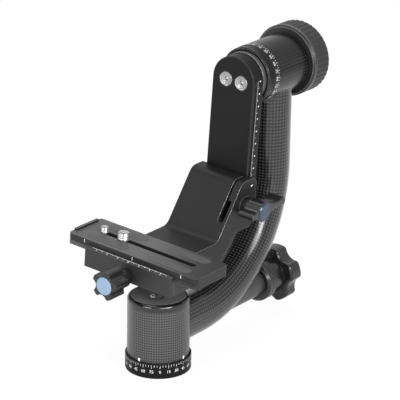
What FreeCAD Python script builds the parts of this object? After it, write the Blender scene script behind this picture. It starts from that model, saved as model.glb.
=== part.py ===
import FreeCAD, Part
import math
import os
import re
import Sketcher
from FreeCAD import Placement, Rotation, Vector

# Gimbal tripod head, in millimetres. The origin is the centre of the base's bottom face, +Z is up,
# +Y runs from the base towards the arm, and +X is the way the lens points.
# Pieces that swing about the tilt axis are drawn in the swing's own frame: its origin lies on the
# tilt axis, its Z runs along the rail, and it leans by rest_tilt when the head is at rest.

doc = FreeCAD.newDocument("gimbal_head")

# ---------------------------------------------------------------------------------------------
# Driving dimensions
# ---------------------------------------------------------------------------------------------

DIMENSIONS = (
    # Clearances
    ("slide_gap", 0.3, "gap between faces that slide past each other"),
    ("turn_gap", 0.05, "radial gap of a shaft in its bush"),
    # Base: degree ring, foot and spindle
    ("ring_radius", 24.8, "degree ring, outside"),
    ("ring_height", 12.0, "degree ring"),
    ("ring_bore", 20.0, "degree ring, inside radius"),
    ("ring_edge", 0.8, "rounding of the ring's bottom edge"),
    ("foot_height", 11.0, "base plate inside the ring"),
    ("insert_radius", 8.0, "steel thread insert"),
    ("socket_radius", 4.8, "3/8 inch tripod socket"),
    ("socket_depth", 9.5, "3/8 inch tripod socket"),
    ("spindle_radius", 9.0, "pan spindle"),
    ("spindle_top", 46.0, "top of the pan spindle"),
    ("flange_radius", 16.0, "foot flange of the spindle"),
    ("flange_height", 3.0, "foot flange of the spindle"),
    ("foot_screw_circle", 12.5, "radius of the circle of foot screws"),
    ("foot_screw_radius", 2.0, "shank of a foot screw"),
    ("foot_head_radius", 3.4, "head of a foot screw"),
    ("foot_head_height", 4.0, "head of a foot screw"),
    ("foot_head_depth", 0.5, "how deep a foot screw's head is sunk"),
    ("foot_screw_bite", 2.4, "thread of a foot screw in the flange"),
    ("foot_screw_count", 4, "foot screws"),
    ("foot_hex_radius", 1.7, "corners of a foot screw's hexagon socket"),
    ("hex_depth", 2.0, "hexagon socket of a foot screw"),
    # Pan housing
    ("tube_radius", 23.4, "carbon sleeve of the pan housing"),
    ("tube_wall", 2.4, "carbon sleeve of the pan housing"),
    ("tube_top", 52.2, "top of the carbon sleeve"),
    ("core_top", 49.6, "top of the housing core"),
    ("bush_radius", 13.0, "pan bushes, outside"),
    ("lower_bush_height", 6.0, "lower pan bush"),
    ("upper_bush_bottom", 37.0, "upper pan bush"),
    ("upper_bush_height", 5.0, "upper pan bush"),
    ("core_relief", 0.6, "gap around the spindle between the bushes"),
    ("nut_radius", 14.0, "spindle nut"),
    ("nut_recess", 15.2, "recess of the core around the spindle nut"),
    ("cap_top", 57.8, "top of the cap"),
    ("cap_disc_radius", 20.6, "flat disc inside the cap ring"),
    ("cap_spigot_wall", 2.0, "spigot of the cap ring in the sleeve"),
    ("cap_round", 2.6, "rounding of the cap ring's shoulder"),
    ("cap_disc_bevel", 0.6, "bevel around the cap disc"),
    ("level_across", 1.2, "bubble level's distance from the centre along X"),
    ("level_forward", 4.5, "bubble level's distance from the centre towards the front"),
    ("level_radius", 6.0, "bubble level housing"),
    ("level_depth", 5.0, "bubble level housing"),
    ("level_lip", 0.5, "bubble level above the cap disc"),
    ("vial_radius", 4.5, "bubble level glass"),
    ("vial_depth", 3.4, "bubble level glass"),
    ("vial_dome", 0.8, "dome of the bubble level glass"),
    # Arm
    ("root_height", 30.2, "axis of the arm where it leaves the housing"),
    ("arm_radius", 17.0, "arm tube"),
    ("arm_wall", 3.0, "arm tube"),
    ("arm_bend", 95.0, "bend of the arm's axis"),
    ("arm_rise", 137.7, "distance of the upright part of the arm"),
    ("tilt_height", 201.3, "height of the tilt axis"),
    ("barrel_radius", 22.5, "tilt barrel"),
    ("barrel_wall", 4.5, "tilt barrel"),
    ("barrel_front", 112.3, "front end of the tilt barrel"),
    ("barrel_rear", 155.5, "rear end of the tilt barrel"),
    ("barrel_blend", 4.0, "blend of the arm into the barrel"),
    ("plug_reach", 42.0, "far end of the plug in the arm's root"),
    # Pan lock
    ("lock_height", 28.0, "axis of the pan lock"),
    ("rod_radius", 3.5, "lock rod"),
    ("shoe_radius", 5.0, "brake shoe on the spindle"),
    ("shoe_length", 5.0, "brake shoe on the spindle"),
    ("boss_radius", 10.9, "boss of the lock on the arm"),
    ("boss_start", 68.0, "inner end of the boss"),
    ("collar_start", 121.8, "near face of the collar"),
    ("collar_length", 5.0, "collar on the boss"),
    ("collar_radius", 15.8, "collar on the boss"),
    ("collar_bevel", 1.8, "bevel of the collar"),
    ("pan_hub_length", 16.2, "hub of the pan knob"),
    ("pan_flange_length", 4.2, "wide rim of the pan knob's hub"),
    ("pan_hub_radius", 14.6, "hub of the pan knob"),
    ("pan_grip_radius", 22.2, "lobes of the pan knob"),
    ("pan_grip_length", 14.0, "star of the pan knob"),
    ("pan_scallop_radius", 9.5, "hollow between two lobes"),
    ("pan_scallop_circle", 27.5, "distance of the hollows' centres"),
    ("pan_grip_lobes", 5, "lobes of the pan knob"),
    ("pan_grip_phase", 19.7, "angle of the first hollow"),
    ("pan_lobe_round", 3.6, "rounding of a lobe's flanks"),
    ("pan_edge_round", 2.5, "rounding of the star's rims"),
    # Tilt axis
    ("rest_tilt", 3.8, "lean of the swing at rest, degrees"),
    ("shaft_radius", 10.0, "tilt shaft"),
    ("shaft_rear", 154.5, "shoulder of the tilt shaft"),
    ("stud_radius", 5.0, "threaded end of the tilt shaft"),
    ("stud_end", 171.0, "threaded end of the tilt shaft"),
    ("tilt_bush_length", 9.0, "tilt bushes"),
    ("tilt_bush_inset", 1.5, "tilt bushes inside the barrel's ends"),
    ("tilt_flange_front", 104.8, "front of the tilt flange"),
    ("tilt_flange_radius", 22.2, "tilt flange"),
    ("tilt_flange_bevel", 0.9, "bevel of the tilt flange"),
    ("spacer_radius", 19.6, "disc between rail and flange"),
    ("disc_thick", 0.8, "pressure disc behind the barrel"),
    ("disc_radius", 20.0, "pressure disc behind the barrel"),
    ("tilt_knob_rear", 177.5, "rear face of the tilt knob"),
    ("tilt_knob_radius", 28.2, "tilt knob"),
    ("tilt_core_radius", 25.5, "metal core of the tilt knob"),
    ("tilt_lip_length", 3.6, "smooth front lip of the tilt knob"),
    ("tilt_lip_bevel", 1.6, "bevel of the front lip"),
    ("tilt_cap_radius", 15.0, "rear cap of the tilt knob"),
    ("tilt_cap_depth", 2.0, "rear cap of the tilt knob"),
    ("rib_radius", 2.2, "hollow between two ribs of the tilt knob"),
    ("rib_depth", 0.5, "depth of the hollows"),
    ("rib_count", 40, "hollows around the tilt knob"),
    ("insert_wall", 3.0, "brass thread insert of the tilt knob"),
    # Rail
    ("rail_front", 89.4, "front face of the rail"),
    ("rail_thick", 12.0, "rail"),
    ("rail_half", 19.0, "half width of the rail"),
    ("rail_drop", 112.0, "lower end of the rail below the tilt axis"),
    ("groove_start", 1.8, "front band of the rail's edge"),
    ("groove_width", 3.8, "groove in the rail's edge"),
    ("groove_depth", 1.9, "groove in the rail's edge"),
    ("rail_edge", 0.5, "bevel of the rail's front face"),
    ("rail_screw_reach", 7.0, "rail screws left and right of the axis"),
    ("rail_screw_radius", 6.0, "head of a rail screw"),
    ("rail_screw_head", 3.0, "head of a rail screw"),
    ("rail_screw_shank", 3.0, "shank of a rail screw"),
    ("rail_screw_length", 19.0, "rail screw"),
    ("rail_screw_dish", 0.9, "dished face of a rail screw"),
    ("rail_screw_floor", 2.0, "flat middle of a rail screw's dish"),
    ("rail_hex_radius", 1.7, "corners of a rail screw's hexagon socket"),
    ("stop_thick", 2.0, "stop plate under the rail"),
    ("stop_half", 14.0, "half width of the stop plate"),
    ("stop_lead", 3.0, "stop plate in front of the rail"),
    ("stop_screw_radius", 2.0, "screw of the stop plate"),
    ("stop_head_radius", 3.6, "screw head of the stop plate"),
    ("stop_head_height", 2.2, "screw head of the stop plate"),
    ("stop_screw_length", 10.0, "screw of the stop plate"),
    # Platform bracket
    ("bracket_half", 24.0, "half width of the bracket"),
    ("bracket_top", -71.9, "top of the bracket in the swing's frame"),
    ("bracket_crest", 77.8, "top front edge of the bracket"),
    ("bracket_rear", 96.0, "rear edge of the bracket's flanks"),
    ("flank_bottom", -111.5, "underside of the flanks"),
    ("flank_chamfer", 5.0, "lower rear corner of the flanks"),
    ("neck_rear", 72.0, "where the underside turns down"),
    ("neck_low", 56.0, "rear end of the platform's underside"),
    ("neck_low_height", -130.0, "rear end of the platform's underside"),
    ("ramp_foot", 50.2, "foot of the ramp"),
    ("platform_top", -112.6, "top of the platform"),
    ("crest_round", 8.5, "rounding of the bracket's top front edge"),
    ("rear_round", 6.0, "rounding of the bracket's top rear edge"),
    ("ramp_round", 9.0, "rounding at the foot of the ramp"),
    ("neck_round", 9.0, "rounding where the underside turns down"),
    ("lip_gap", 0.35, "gap of the bracket's lips in the rail's grooves"),
    ("slit_reach", 16.2, "left edge of the slit in the front wall"),
    ("slit_width", 1.7, "slit in the front wall"),
    ("slit_bottom", -85.5, "lower end of the slit"),
    ("relief_bottom", -100.4, "lower end of the relief slot"),
    ("relief_width", 5.1, "relief slot"),
    ("relief_share", 0.45, "rounding of the relief slot's end, share of its width"),
    ("height_screw_depth", 82.0, "height lock screw, distance along Y"),
    ("height_screw_level", -91.4, "height lock screw, below the tilt axis"),
    # Lens clamp
    ("plate_front", -14.5, "front edge of the lens plate"),
    ("plate_width", 38.2, "lens plate"),
    ("plate_left", -67.0, "left end of the lens plate"),
    ("plate_length", 120.5, "lens plate"),
    ("plate_top", -112.5, "top of the lens plate"),
    ("plate_thick", 8.6, "lens plate"),
    ("plate_band", 4.2, "upper band of the plate's edge"),
    ("vee_depth", 2.0, "dovetail groove of the lens plate"),
    ("plate_corner", 3.0, "corner rounding of the lens plate"),
    ("clamp_left", -48.0, "left end of the clamp"),
    ("clamp_length", 80.5, "lens clamp"),
    ("clamp_bottom", -133.0, "underside of the clamp"),
    ("clamp_front", -12.6, "front face of the clamp body"),
    ("clamp_rear", 23.4, "rear face of the clamp body"),
    ("tongue_rear", 42.0, "rear end of the tongue under the bracket"),
    ("tongue_half", 22.0, "half width of the tongue"),
    ("tongue_top", -122.1, "top of the tongue"),
    ("clamp_screw_reach", 12.0, "clamp screws left and right"),
    ("clamp_screw_depth", 33.0, "clamp screws, distance along Y"),
    ("clamp_screw_radius", 2.5, "shank of a clamp screw"),
    ("clamp_head_radius", 4.2, "head of a clamp screw"),
    ("clamp_head_height", 4.0, "head of a clamp screw"),
    ("clamp_screw_bite", 6.0, "thread of a clamp screw in the bracket"),
    ("jaw_front", -17.5, "front face of the jaw"),
    ("jaw_top", -116.4, "top of the jaw"),
    ("jaw_corner", 4.0, "rounded right end of the jaw"),
    ("jaw_slope_depth", 2.0, "slope along the jaw's upper front edge, which carries its scale"),
    ("jaw_slope_height", 1.3, "slope along the jaw's upper front edge"),
    ("jaw_pin_radius", 2.5, "guide pins of the jaw"),
    ("jaw_pin_reach", 26.0, "guide pins left and right of the knob"),
    ("jaw_pin_length", 22.0, "guide pins of the jaw"),
    ("jaw_pin_bite", 3.2, "guide pins inside the jaw"),
    ("plate_screw_across", -8.0, "plate lock screw, distance along X"),
    ("plate_screw_level", -128.0, "plate lock screw, below the tilt axis"),
    ("spring_radius", 4.3, "spring behind the jaw"),
    ("spring_wall", 0.7, "spring behind the jaw"),
    ("spring_length", 8.0, "spring behind the jaw"),
    # Small knobs: a star for the plate lock and a wing for the height lock
    ("knob_radius", 11.2, "lobes of a small knob"),
    ("knob_lobes", 5, "lobes of a small knob"),
    ("plate_knob_phase", 44.6, "angle of the plate knob's first hollow"),
    ("knob_neck_radius", 5.5, "neck behind a small knob's hub"),
    ("plate_neck_length", 4.5, "neck of the plate knob"),
    ("height_neck_length", 1.0, "neck of the height knob"),
    ("knob_scallop_radius", 4.5, "hollow between two lobes"),
    ("knob_scallop_circle", 12.3, "distance of the hollows' centres"),
    ("knob_lobe_round", 1.6, "rounding of a lobe's flanks"),
    ("knob_edge_round", 0.7, "rounding of the knob's rims"),
    ("knob_hub_radius", 7.5, "hub of a small knob"),
    ("knob_grip_core", 7.9, "round middle of the height knob's grip"),
    ("knob_cap_radius", 6.9, "coloured end cap"),
    ("knob_cap_depth", 1.8, "coloured end cap inside the knob"),
    ("knob_cap_proud", 0.8, "coloured end cap above the knob"),
    ("knob_screw_radius", 3.0, "screw of a small knob"),
    ("knob_screw_hold", 11.0, "screw inside the knob"),
    ("plate_hub_length", 10.2, "hub of the plate knob"),
    ("plate_grip_length", 16.4, "grip of the plate knob"),
    ("plate_screw_reach", 24.0, "plate lock screw behind its knob"),
    ("height_hub_length", 3.9, "hub of the height knob"),
    ("height_grip_length", 13.7, "grip of the height knob"),
    ("wing_lean", 4.5, "turn of the height knob's wings at rest"),
    ("wing_reach", 24.4, "long wing, centre of its tip"),
    ("wing_tip_radius", 3.1, "long wing, tip"),
    ("wing_hollow", 22.0, "long wing, hollow flanks"),
    ("tab_reach", 12.8, "short wing, centre of its tip"),
    ("tab_tip_radius", 2.6, "short wing, tip"),
    ("tab_hollow", 8.0, "short wing, hollow flanks"),
    ("height_screw_reach", 30.0, "height lock screw behind its knob"),
    ("washer_thick", 0.8, "washer of the height knob"),
    # Lens plate fittings
    ("slot_left", -50.9, "left end of the slot"),
    ("slot_right", 38.0, "right end of the slot"),
    ("slot_half", 2.6, "half width of the slot"),
    ("channel_half", 8.6, "channel under the slot"),
    ("channel_depth", 4.4, "channel under the slot"),
    ("pad_length", 38.0, "rubber pads"),
    ("pad_half", 4.4, "half width of a rubber pad"),
    ("pad_offset", 11.6, "rubber pads in front of and behind the slot"),
    ("pad_left", -54.0, "left rubber pads"),
    ("pad_right", 4.0, "right rubber pads"),
    ("pad_depth", 1.2, "rubber pads in the plate"),
    ("pad_proud", 0.15, "rubber pads above the plate"),
    ("ridge_inset", 0.6, "raised stop inside the plate's left end"),
    ("ridge_width", 2.4, "raised stop along the plate's left end"),
    ("ridge_height", 1.8, "raised stop along the plate's left end"),
    ("ridge_half", 13.0, "half length of the raised stop"),
    ("plate_stop_reach", 4.2, "stop screws from the plate's ends"),
    ("plate_stop_radius", 1.5, "shank of a stop screw"),
    ("plate_stop_head", 2.4, "head radius of a stop screw"),
    ("plate_stop_proud", 1.8, "stop screw under the plate"),
    ("plate_stop_bite", 4.0, "stop screw in the plate"),
    ("quarter_across", -47.8, "1/4 inch camera screw"),
    ("quarter_radius", 3.175, "1/4 inch camera screw"),
    ("quarter_tall", 4.8, "1/4 inch camera screw above the plate"),
    ("quarter_hex_radius", 1.73, "corners of the 1/4 inch screw's hexagon socket"),
    ("quarter_hex_depth", 1.8, "hexagon socket of the 1/4 inch screw"),
    ("large_across", -29.6, "3/8 inch camera screw"),
    ("large_radius", 4.7625, "3/8 inch camera screw"),
    ("large_tall", 5.7, "3/8 inch camera screw above the plate"),
    ("large_hex_radius", 2.75, "corners of the 3/8 inch screw's hexagon socket"),
    ("large_hex_depth", 2.4, "hexagon socket of the 3/8 inch screw"),
    ("screw_neck", 2.4, "neck of a camera screw in the slot"),
    ("screw_head_radius", 7.2, "head of a camera screw"),
    ("screw_head_height", 2.4, "head of a camera screw"),
    ("screw_washer", 0.8, "washer of a camera screw"),
    ("screw_coin_half", 0.8, "coin slot of a camera screw"),
    ("screw_coin_depth", 1.2, "coin slot of a camera screw"),
)

sheet = doc.addObject("Spreadsheet::Sheet", "dims")
for row, (alias, number, meaning) in enumerate(DIMENSIONS, start=1):
    sheet.set(f"A{row}", meaning)
    sheet.set(f"B{row}", str(number))
    sheet.setAlias(f"B{row}", alias)
doc.recompute()


class Sizes:
    """Reads a driving dimension from the sheet by its alias."""

    def __getattr__(self, alias):
        return float(sheet.get(alias))


size = Sizes()
ALIASES = {alias for alias, number, meaning in DIMENSIONS}


def named(formula):
    """The formula with every alias written as a cell of the sheet."""
    return re.sub(r"[a-z_]+", lambda word: "dims." + word[0] if word[0] in ALIASES else word[0], formula)


# ---------------------------------------------------------------------------------------------
# Sketches and features
# ---------------------------------------------------------------------------------------------

FULL_TURN = 360.0


def new_body(label):
    body = doc.addObject("PartDesign::Body", label)
    body.Label = label
    return body


def new_sketch(body, plane, shift=None):
    """An empty sketch on one of the body's own origin planes, moved along its normal by shift."""
    sketch = body.newObject("Sketcher::SketchObject", body.Label + "_sketch")
    feature = [entry for entry in body.Origin.OriginFeatures if entry.Role == plane + "_Plane"][0]
    sketch.AttachmentSupport = [(feature, "")]
    sketch.MapMode = "FlatFace"
    if shift:
        sketch.setExpression("AttachmentOffset.Base.z", named(shift))
    return sketch


def pin_point(sketch, edge, end, across, up, guess):
    """Holds one end of an edge at the place that two formulas give."""
    for kind, axis, formula, start in (("DistanceX", -2, across, guess.x), ("DistanceY", -1, up, guess.y)):
        if formula == "0":
            sketch.addConstraint(Sketcher.Constraint("PointOnObject", edge, end, axis))
            continue
        number = sketch.addConstraint(Sketcher.Constraint(kind, -1, 1, edge, end, start))
        sketch.setExpression(f"Constraints[{number}]", named(formula))


def add_outline(sketch, corners):
    """A closed outline of straight edges through corners given as pairs of formulas."""
    first = sketch.GeometryCount
    count = len(corners)
    around = [2 * math.pi * step / count for step in range(count)]
    guess = [Vector(math.cos(angle), math.sin(angle), 0) for angle in around]
    for step in range(count):
        sketch.addGeometry(Part.LineSegment(guess[step], guess[(step + 1) % count]), False)
    for step in range(count):
        following = first + (step + 1) % count
        sketch.addConstraint(Sketcher.Constraint("Coincident", first + step, 2, following, 1))
    for step, (across, up) in enumerate(corners):
        pin_point(sketch, first + step, 1, across, up, guess[step])


def add_circle(sketch, across, up, radius):
    edge = sketch.addGeometry(Part.Circle(Vector(1, 1, 0), Vector(0, 0, 1), 1), False)
    pin_point(sketch, edge, 3, across, up, Vector(1, 1, 0))
    number = sketch.addConstraint(Sketcher.Constraint("Radius", edge, 1.0))
    sketch.setExpression(f"Constraints[{number}]", named(radius))


def add_box(sketch, left, low, right, high):
    add_outline(sketch, ((left, low), (right, low), (right, high), (left, high)))


def add_hexagon(sketch, radius):
    """A hexagon around the origin, with its corners at a radius."""
    turns = range(0, 360, 60)
    add_outline(sketch, [(f"{radius} * cos({turn} * 1deg)", f"{radius} * sin({turn} * 1deg)")
                         for turn in turns])


def settle(body, feature):
    """Works the feature out and stops if it failed."""
    doc.recompute()
    if "Invalid" in feature.State or "Touched" in feature.State:
        raise RuntimeError(f"{body.Label}: {feature.Name} failed")
    return feature


def raise_from(body, sketch, length, both=False, back=False):
    """Adds the sketch's area as material, along its normal or to both sides."""
    pad = body.newObject("PartDesign::Pad", body.Label + "_pad")
    pad.Profile = sketch
    pad.setExpression("Length", named(length))
    pad.SideType = "Symmetric" if both else "One side"
    pad.Reversed = back
    return settle(body, pad)


def cut_from(body, sketch, length, back=False, may_miss=False):
    """Takes the sketch's area away, and makes sure that material really went unless it may miss."""
    before = body.Shape.Volume
    pocket = body.newObject("PartDesign::Pocket", body.Label + "_pocket")
    pocket.Profile = sketch
    pocket.setExpression("Length", named(length))
    pocket.Reversed = back
    settle(body, pocket)
    if body.Shape.Volume >= before and not may_miss:
        raise RuntimeError(body.Label + ": a pocket removed nothing")
    return pocket


def turned(label, corners):
    """A body of revolution about its own Z: each corner is (radius, height) as formulas."""
    body = new_body(label)
    sketch = new_sketch(body, "XZ")
    add_outline(sketch, corners)
    turn = body.newObject("PartDesign::Revolution", label + "_turn")
    turn.Profile = sketch
    turn.ReferenceAxis = (sketch, ["V_Axis"])
    turn.Angle = FULL_TURN
    settle(body, turn)
    return body


def ring(label, inner, outer, low, high):
    """A plain ring, or a disc when inner is 0."""
    return turned(label, ((inner, low), (outer, low), (outer, high), (inner, high)))


def polar(body, feature, count):
    """Repeats a feature around the body's Z axis."""
    pattern = body.newObject("PartDesign::PolarPattern", body.Label + "_pattern")
    pattern.Originals = [feature]
    axis = [entry for entry in body.Origin.OriginFeatures if entry.Role == "Z_Axis"][0]
    pattern.Axis = (axis, [""])
    pattern.Angle = FULL_TURN
    pattern.setExpression("Occurrences", named(count))
    body.Tip = pattern
    return settle(body, pattern)


def edges_by(feature, test):
    """Names of the feature's edges that pass a test."""
    return [f"Edge{number}" for number, edge in enumerate(feature.Shape.Edges, start=1) if test(edge)]


def round_edges(body, test, radius):
    """Rounds the edges of the body's last feature that pass a test."""
    base = body.Tip
    names = edges_by(base, test)
    if not names:
        raise RuntimeError(body.Label + ": no edge to round")
    fillet = body.newObject("PartDesign::Fillet", body.Label + "_round")
    fillet.Base = (base, names)
    fillet.setExpression("Radius", named(radius))
    return settle(body, fillet)


def bevel_edges(body, test, reach):
    base = body.Tip
    names = edges_by(base, test)
    if not names:
        raise RuntimeError(body.Label + ": no edge to bevel")
    chamfer = body.newObject("PartDesign::Chamfer", body.Label + "_bevel")
    chamfer.Base = (base, names)
    chamfer.setExpression("Size", named(reach))
    return settle(body, chamfer)


NEAR = 1e-3


def through(*point):
    """A test for edges with a vertex on every coordinate given; None lets a coordinate be free."""
    def test(edge):
        spots = [vertex.Point for vertex in edge.Vertexes]
        return bool(spots) and all(
            wanted is None or all(abs(spot[axis] - wanted) < NEAR for spot in spots)
            for axis, wanted in enumerate(point))
    return test


def either(*tests):
    return lambda edge: any(test(edge) for test in tests)


# ---------------------------------------------------------------------------------------------
# Places
# ---------------------------------------------------------------------------------------------

UP = Rotation()
DOWN = Rotation(Vector(1, 0, 0), 180)
REAR = Rotation(Vector(1, 0, 0), -90)
FRONT = Rotation(Vector(1, 0, 0), 90)
RIGHT = Rotation(Vector(0, 1, 0), 90)
STILL = Placement()
SWING = Placement(Vector(0, 0, size.tilt_height), Rotation(Vector(0, 1, 0), size.rest_tilt))

pieces = {}


def keep(piece, frame=STILL, spot=Vector(), way=UP):
    """Sets a finished piece in its place and lists it under its label."""
    piece.Placement = frame.multiply(Placement(spot, way))
    pieces[piece.Label] = piece


def copies(label, pattern, frame, spots, way=UP):
    """One node of several equal solids: the pattern's shape at each spot."""
    shapes = []
    for spot in spots:
        shape = pattern.Shape.copy()
        shape.Placement = frame.multiply(Placement(spot, way))
        shapes.append(shape)
    node = doc.addObject("Part::Feature", label)
    node.Label = label
    node.Shape = Part.makeCompound(shapes)
    pieces[label] = node


# ---------------------------------------------------------------------------------------------
# Base: what stays on the tripod
# ---------------------------------------------------------------------------------------------

# Degree ring around the foot
degree_ring = ring("degree_ring", "ring_bore", "ring_radius", "0", "ring_height")
round_edges(degree_ring, through(None, None, 0), "ring_edge")
keep(degree_ring)

# Base plate with four counterbored screws and the hole of the thread insert
base_plate = ring("base_plate", "insert_radius", "ring_bore", "0", "foot_height")
foot_hole = new_sketch(base_plate, "XY")
add_circle(foot_hole, "foot_screw_circle", "0", "foot_screw_radius")
hole_cut = cut_from(base_plate, foot_hole, "foot_height", back=True)
polar(base_plate, hole_cut, "foot_screw_count")
head_hole = new_sketch(base_plate, "XY")
add_circle(head_hole, "foot_screw_circle", "0", "foot_head_radius")
head_cut = cut_from(base_plate, head_hole, "foot_head_depth + foot_head_height", back=True)
polar(base_plate, head_cut, "foot_screw_count")
keep(base_plate)

# Steel insert with the tripod socket
keep(turned("tripod_insert", (
    ("socket_radius", "0"), ("insert_radius", "0"), ("insert_radius", "foot_height"),
    ("0", "foot_height"), ("0", "socket_depth"), ("socket_radius", "socket_depth"))))

# Pan spindle on its foot flange
pan_spindle = turned("pan_spindle", (
    ("0", "foot_height"), ("flange_radius", "foot_height"),
    ("flange_radius", "foot_height + flange_height"), ("spindle_radius", "foot_height + flange_height"),
    ("spindle_radius", "spindle_top"), ("0", "spindle_top")))
flange_hole = new_sketch(pan_spindle, "XY", "foot_height")
add_circle(flange_hole, "foot_screw_circle", "0", "foot_screw_radius")
flange_cut = cut_from(pan_spindle, flange_hole, "foot_screw_bite", back=True)
polar(pan_spindle, flange_cut, "foot_screw_count")
keep(pan_spindle)

# Foot screws, with their heads down
foot_screw = turned("foot_screw_pattern", (
    ("0", "foot_head_depth"), ("foot_head_radius", "foot_head_depth"),
    ("foot_head_radius", "foot_head_depth + foot_head_height"),
    ("foot_screw_radius", "foot_head_depth + foot_head_height"),
    ("foot_screw_radius", "foot_height + foot_screw_bite"), ("0", "foot_height + foot_screw_bite")))
foot_socket = new_sketch(foot_screw, "XY", "foot_head_depth")
add_hexagon(foot_socket, "foot_hex_radius")
cut_from(foot_screw, foot_socket, "hex_depth", back=True)
foot_angles = [2 * math.pi * step / size.foot_screw_count for step in range(int(size.foot_screw_count))]
copies("foot_screws", foot_screw, STILL, [
    Vector(size.foot_screw_circle * math.cos(angle), size.foot_screw_circle * math.sin(angle), 0)
    for angle in foot_angles])

# Nut that holds the housing down on the spindle
keep(ring("spindle_nut", "spindle_radius", "nut_radius",
          "upper_bush_bottom + upper_bush_height + slide_gap", "spindle_top"))

# ---------------------------------------------------------------------------------------------
# Pan housing: turns on the spindle
# ---------------------------------------------------------------------------------------------

# Carbon sleeve with the hole that the arm's plug passes through
pan_tube = ring("pan_tube", "tube_radius - tube_wall", "tube_radius", "ring_height + slide_gap", "tube_top")
sleeve_hole = new_sketch(pan_tube, "XZ")
add_circle(sleeve_hole, "0", "root_height", "arm_radius - arm_wall")
cut_from(pan_tube, sleeve_hole, "tube_radius + tube_wall")
keep(pan_tube)

# Housing core with the two bush seats, the nut's recess and the brake shoe's hole
pan_core = turned("pan_core", (
    ("flange_radius + slide_gap", "ring_height + slide_gap"),
    ("tube_radius - tube_wall", "ring_height + slide_gap"), ("tube_radius - tube_wall", "core_top"),
    ("nut_recess", "core_top"), ("nut_recess", "upper_bush_bottom + upper_bush_height"),
    ("bush_radius", "upper_bush_bottom + upper_bush_height"), ("bush_radius", "upper_bush_bottom"),
    ("spindle_radius + core_relief", "upper_bush_bottom"),
    ("spindle_radius + core_relief", "foot_height + flange_height + slide_gap + lower_bush_height"),
    ("bush_radius", "foot_height + flange_height + slide_gap + lower_bush_height"),
    ("bush_radius", "foot_height + flange_height + slide_gap"),
    ("flange_radius + slide_gap", "foot_height + flange_height + slide_gap")))
shoe_hole = new_sketch(pan_core, "XZ")
add_circle(shoe_hole, "0", "lock_height", "shoe_radius + turn_gap")
cut_from(pan_core, shoe_hole, "tube_radius")
keep(pan_core)

# Bronze bushes
keep(ring("lower_pan_bush", "spindle_radius + turn_gap", "bush_radius",
          "foot_height + flange_height + slide_gap",
          "foot_height + flange_height + slide_gap + lower_bush_height"))
keep(ring("upper_pan_bush", "spindle_radius + turn_gap", "bush_radius", "upper_bush_bottom",
          "upper_bush_bottom + upper_bush_height"))

# Cap ring with its rounded shoulder, and the flat disc inside it
cap_ring = turned("cap_ring", (
    ("tube_radius - tube_wall - cap_spigot_wall", "core_top"), ("tube_radius - tube_wall", "core_top"),
    ("tube_radius - tube_wall", "tube_top"), ("tube_radius", "tube_top"), ("tube_radius", "cap_top"),
    ("cap_disc_radius", "cap_top"), ("cap_disc_radius", "tube_top"),
    ("tube_radius - tube_wall - cap_spigot_wall", "tube_top")))
round_edges(cap_ring, lambda edge: through(None, None, size.cap_top)(edge)
            and abs(edge.Curve.Radius - size.tube_radius) < NEAR, "cap_round")
keep(cap_ring)
cap_disc = ring("cap_disc", "0", "cap_disc_radius", "tube_top", "cap_top")
bevel_edges(cap_disc, through(None, None, size.cap_top), "cap_disc_bevel")
level_seat = new_sketch(cap_disc, "XY", "cap_top")
add_circle(level_seat, "level_across", "-level_forward", "level_radius")
cut_from(cap_disc, level_seat, "level_depth")
keep(cap_disc)

# Bubble level: cup and glass
level_spot = Vector(size.level_across, -size.level_forward, size.cap_top)
level_cup = turned("level_cup", (
    ("0", "-level_depth"), ("level_radius", "-level_depth"), ("level_radius", "level_lip"),
    ("vial_radius", "level_lip"), ("vial_radius", "level_lip - vial_depth"),
    ("0", "level_lip - vial_depth")))
keep(level_cup, STILL, level_spot)
level_vial = ring("level_vial", "0", "vial_radius", "level_lip - vial_depth", "level_lip")
bevel_edges(level_vial, through(None, None, size.level_lip), "vial_dome")
keep(level_vial, STILL, level_spot)

# ---------------------------------------------------------------------------------------------
# Arm and tilt barrel
# ---------------------------------------------------------------------------------------------


def arm_path(body):
    """Straight out of the housing, a quarter turn, and straight up to the tilt axis."""
    path = new_sketch(body, "YZ")
    path.addGeometry(Part.LineSegment(Vector(0, 30, 0), Vector(40, 30, 0)), False)
    bend = Part.ArcOfCircle(Part.Circle(Vector(40, 125, 0), Vector(0, 0, 1), 95), -math.pi / 2, 0)
    path.addGeometry(bend, False)
    path.addGeometry(Part.LineSegment(Vector(135, 125, 0), Vector(135, 200, 0)), False)
    path.addConstraint(Sketcher.Constraint("Tangent", 0, 2, 1, 1))
    path.addConstraint(Sketcher.Constraint("Tangent", 1, 2, 2, 1))
    path.addConstraint(Sketcher.Constraint("Horizontal", 0))
    path.addConstraint(Sketcher.Constraint("Vertical", 2))
    pin_point(path, 0, 1, "0", "root_height", Vector(0, 30, 0))
    pin_point(path, 2, 2, "arm_rise", "tilt_height", Vector(135, 200, 0))
    number = path.addConstraint(Sketcher.Constraint("Radius", 1, 95.0))
    path.setExpression(f"Constraints[{number}]", named("arm_bend"))
    doc.recompute()
    return path


def arm_pipe(body, kind, radius):
    section = new_sketch(body, "XZ")
    add_circle(section, "0", "root_height", radius)
    path = arm_path(body)
    pipe = body.newObject(kind, body.Label + "_pipe")
    pipe.Profile = section
    pipe.Spine = (path, ["Edge1", "Edge2", "Edge3"])
    return settle(body, pipe)


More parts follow.
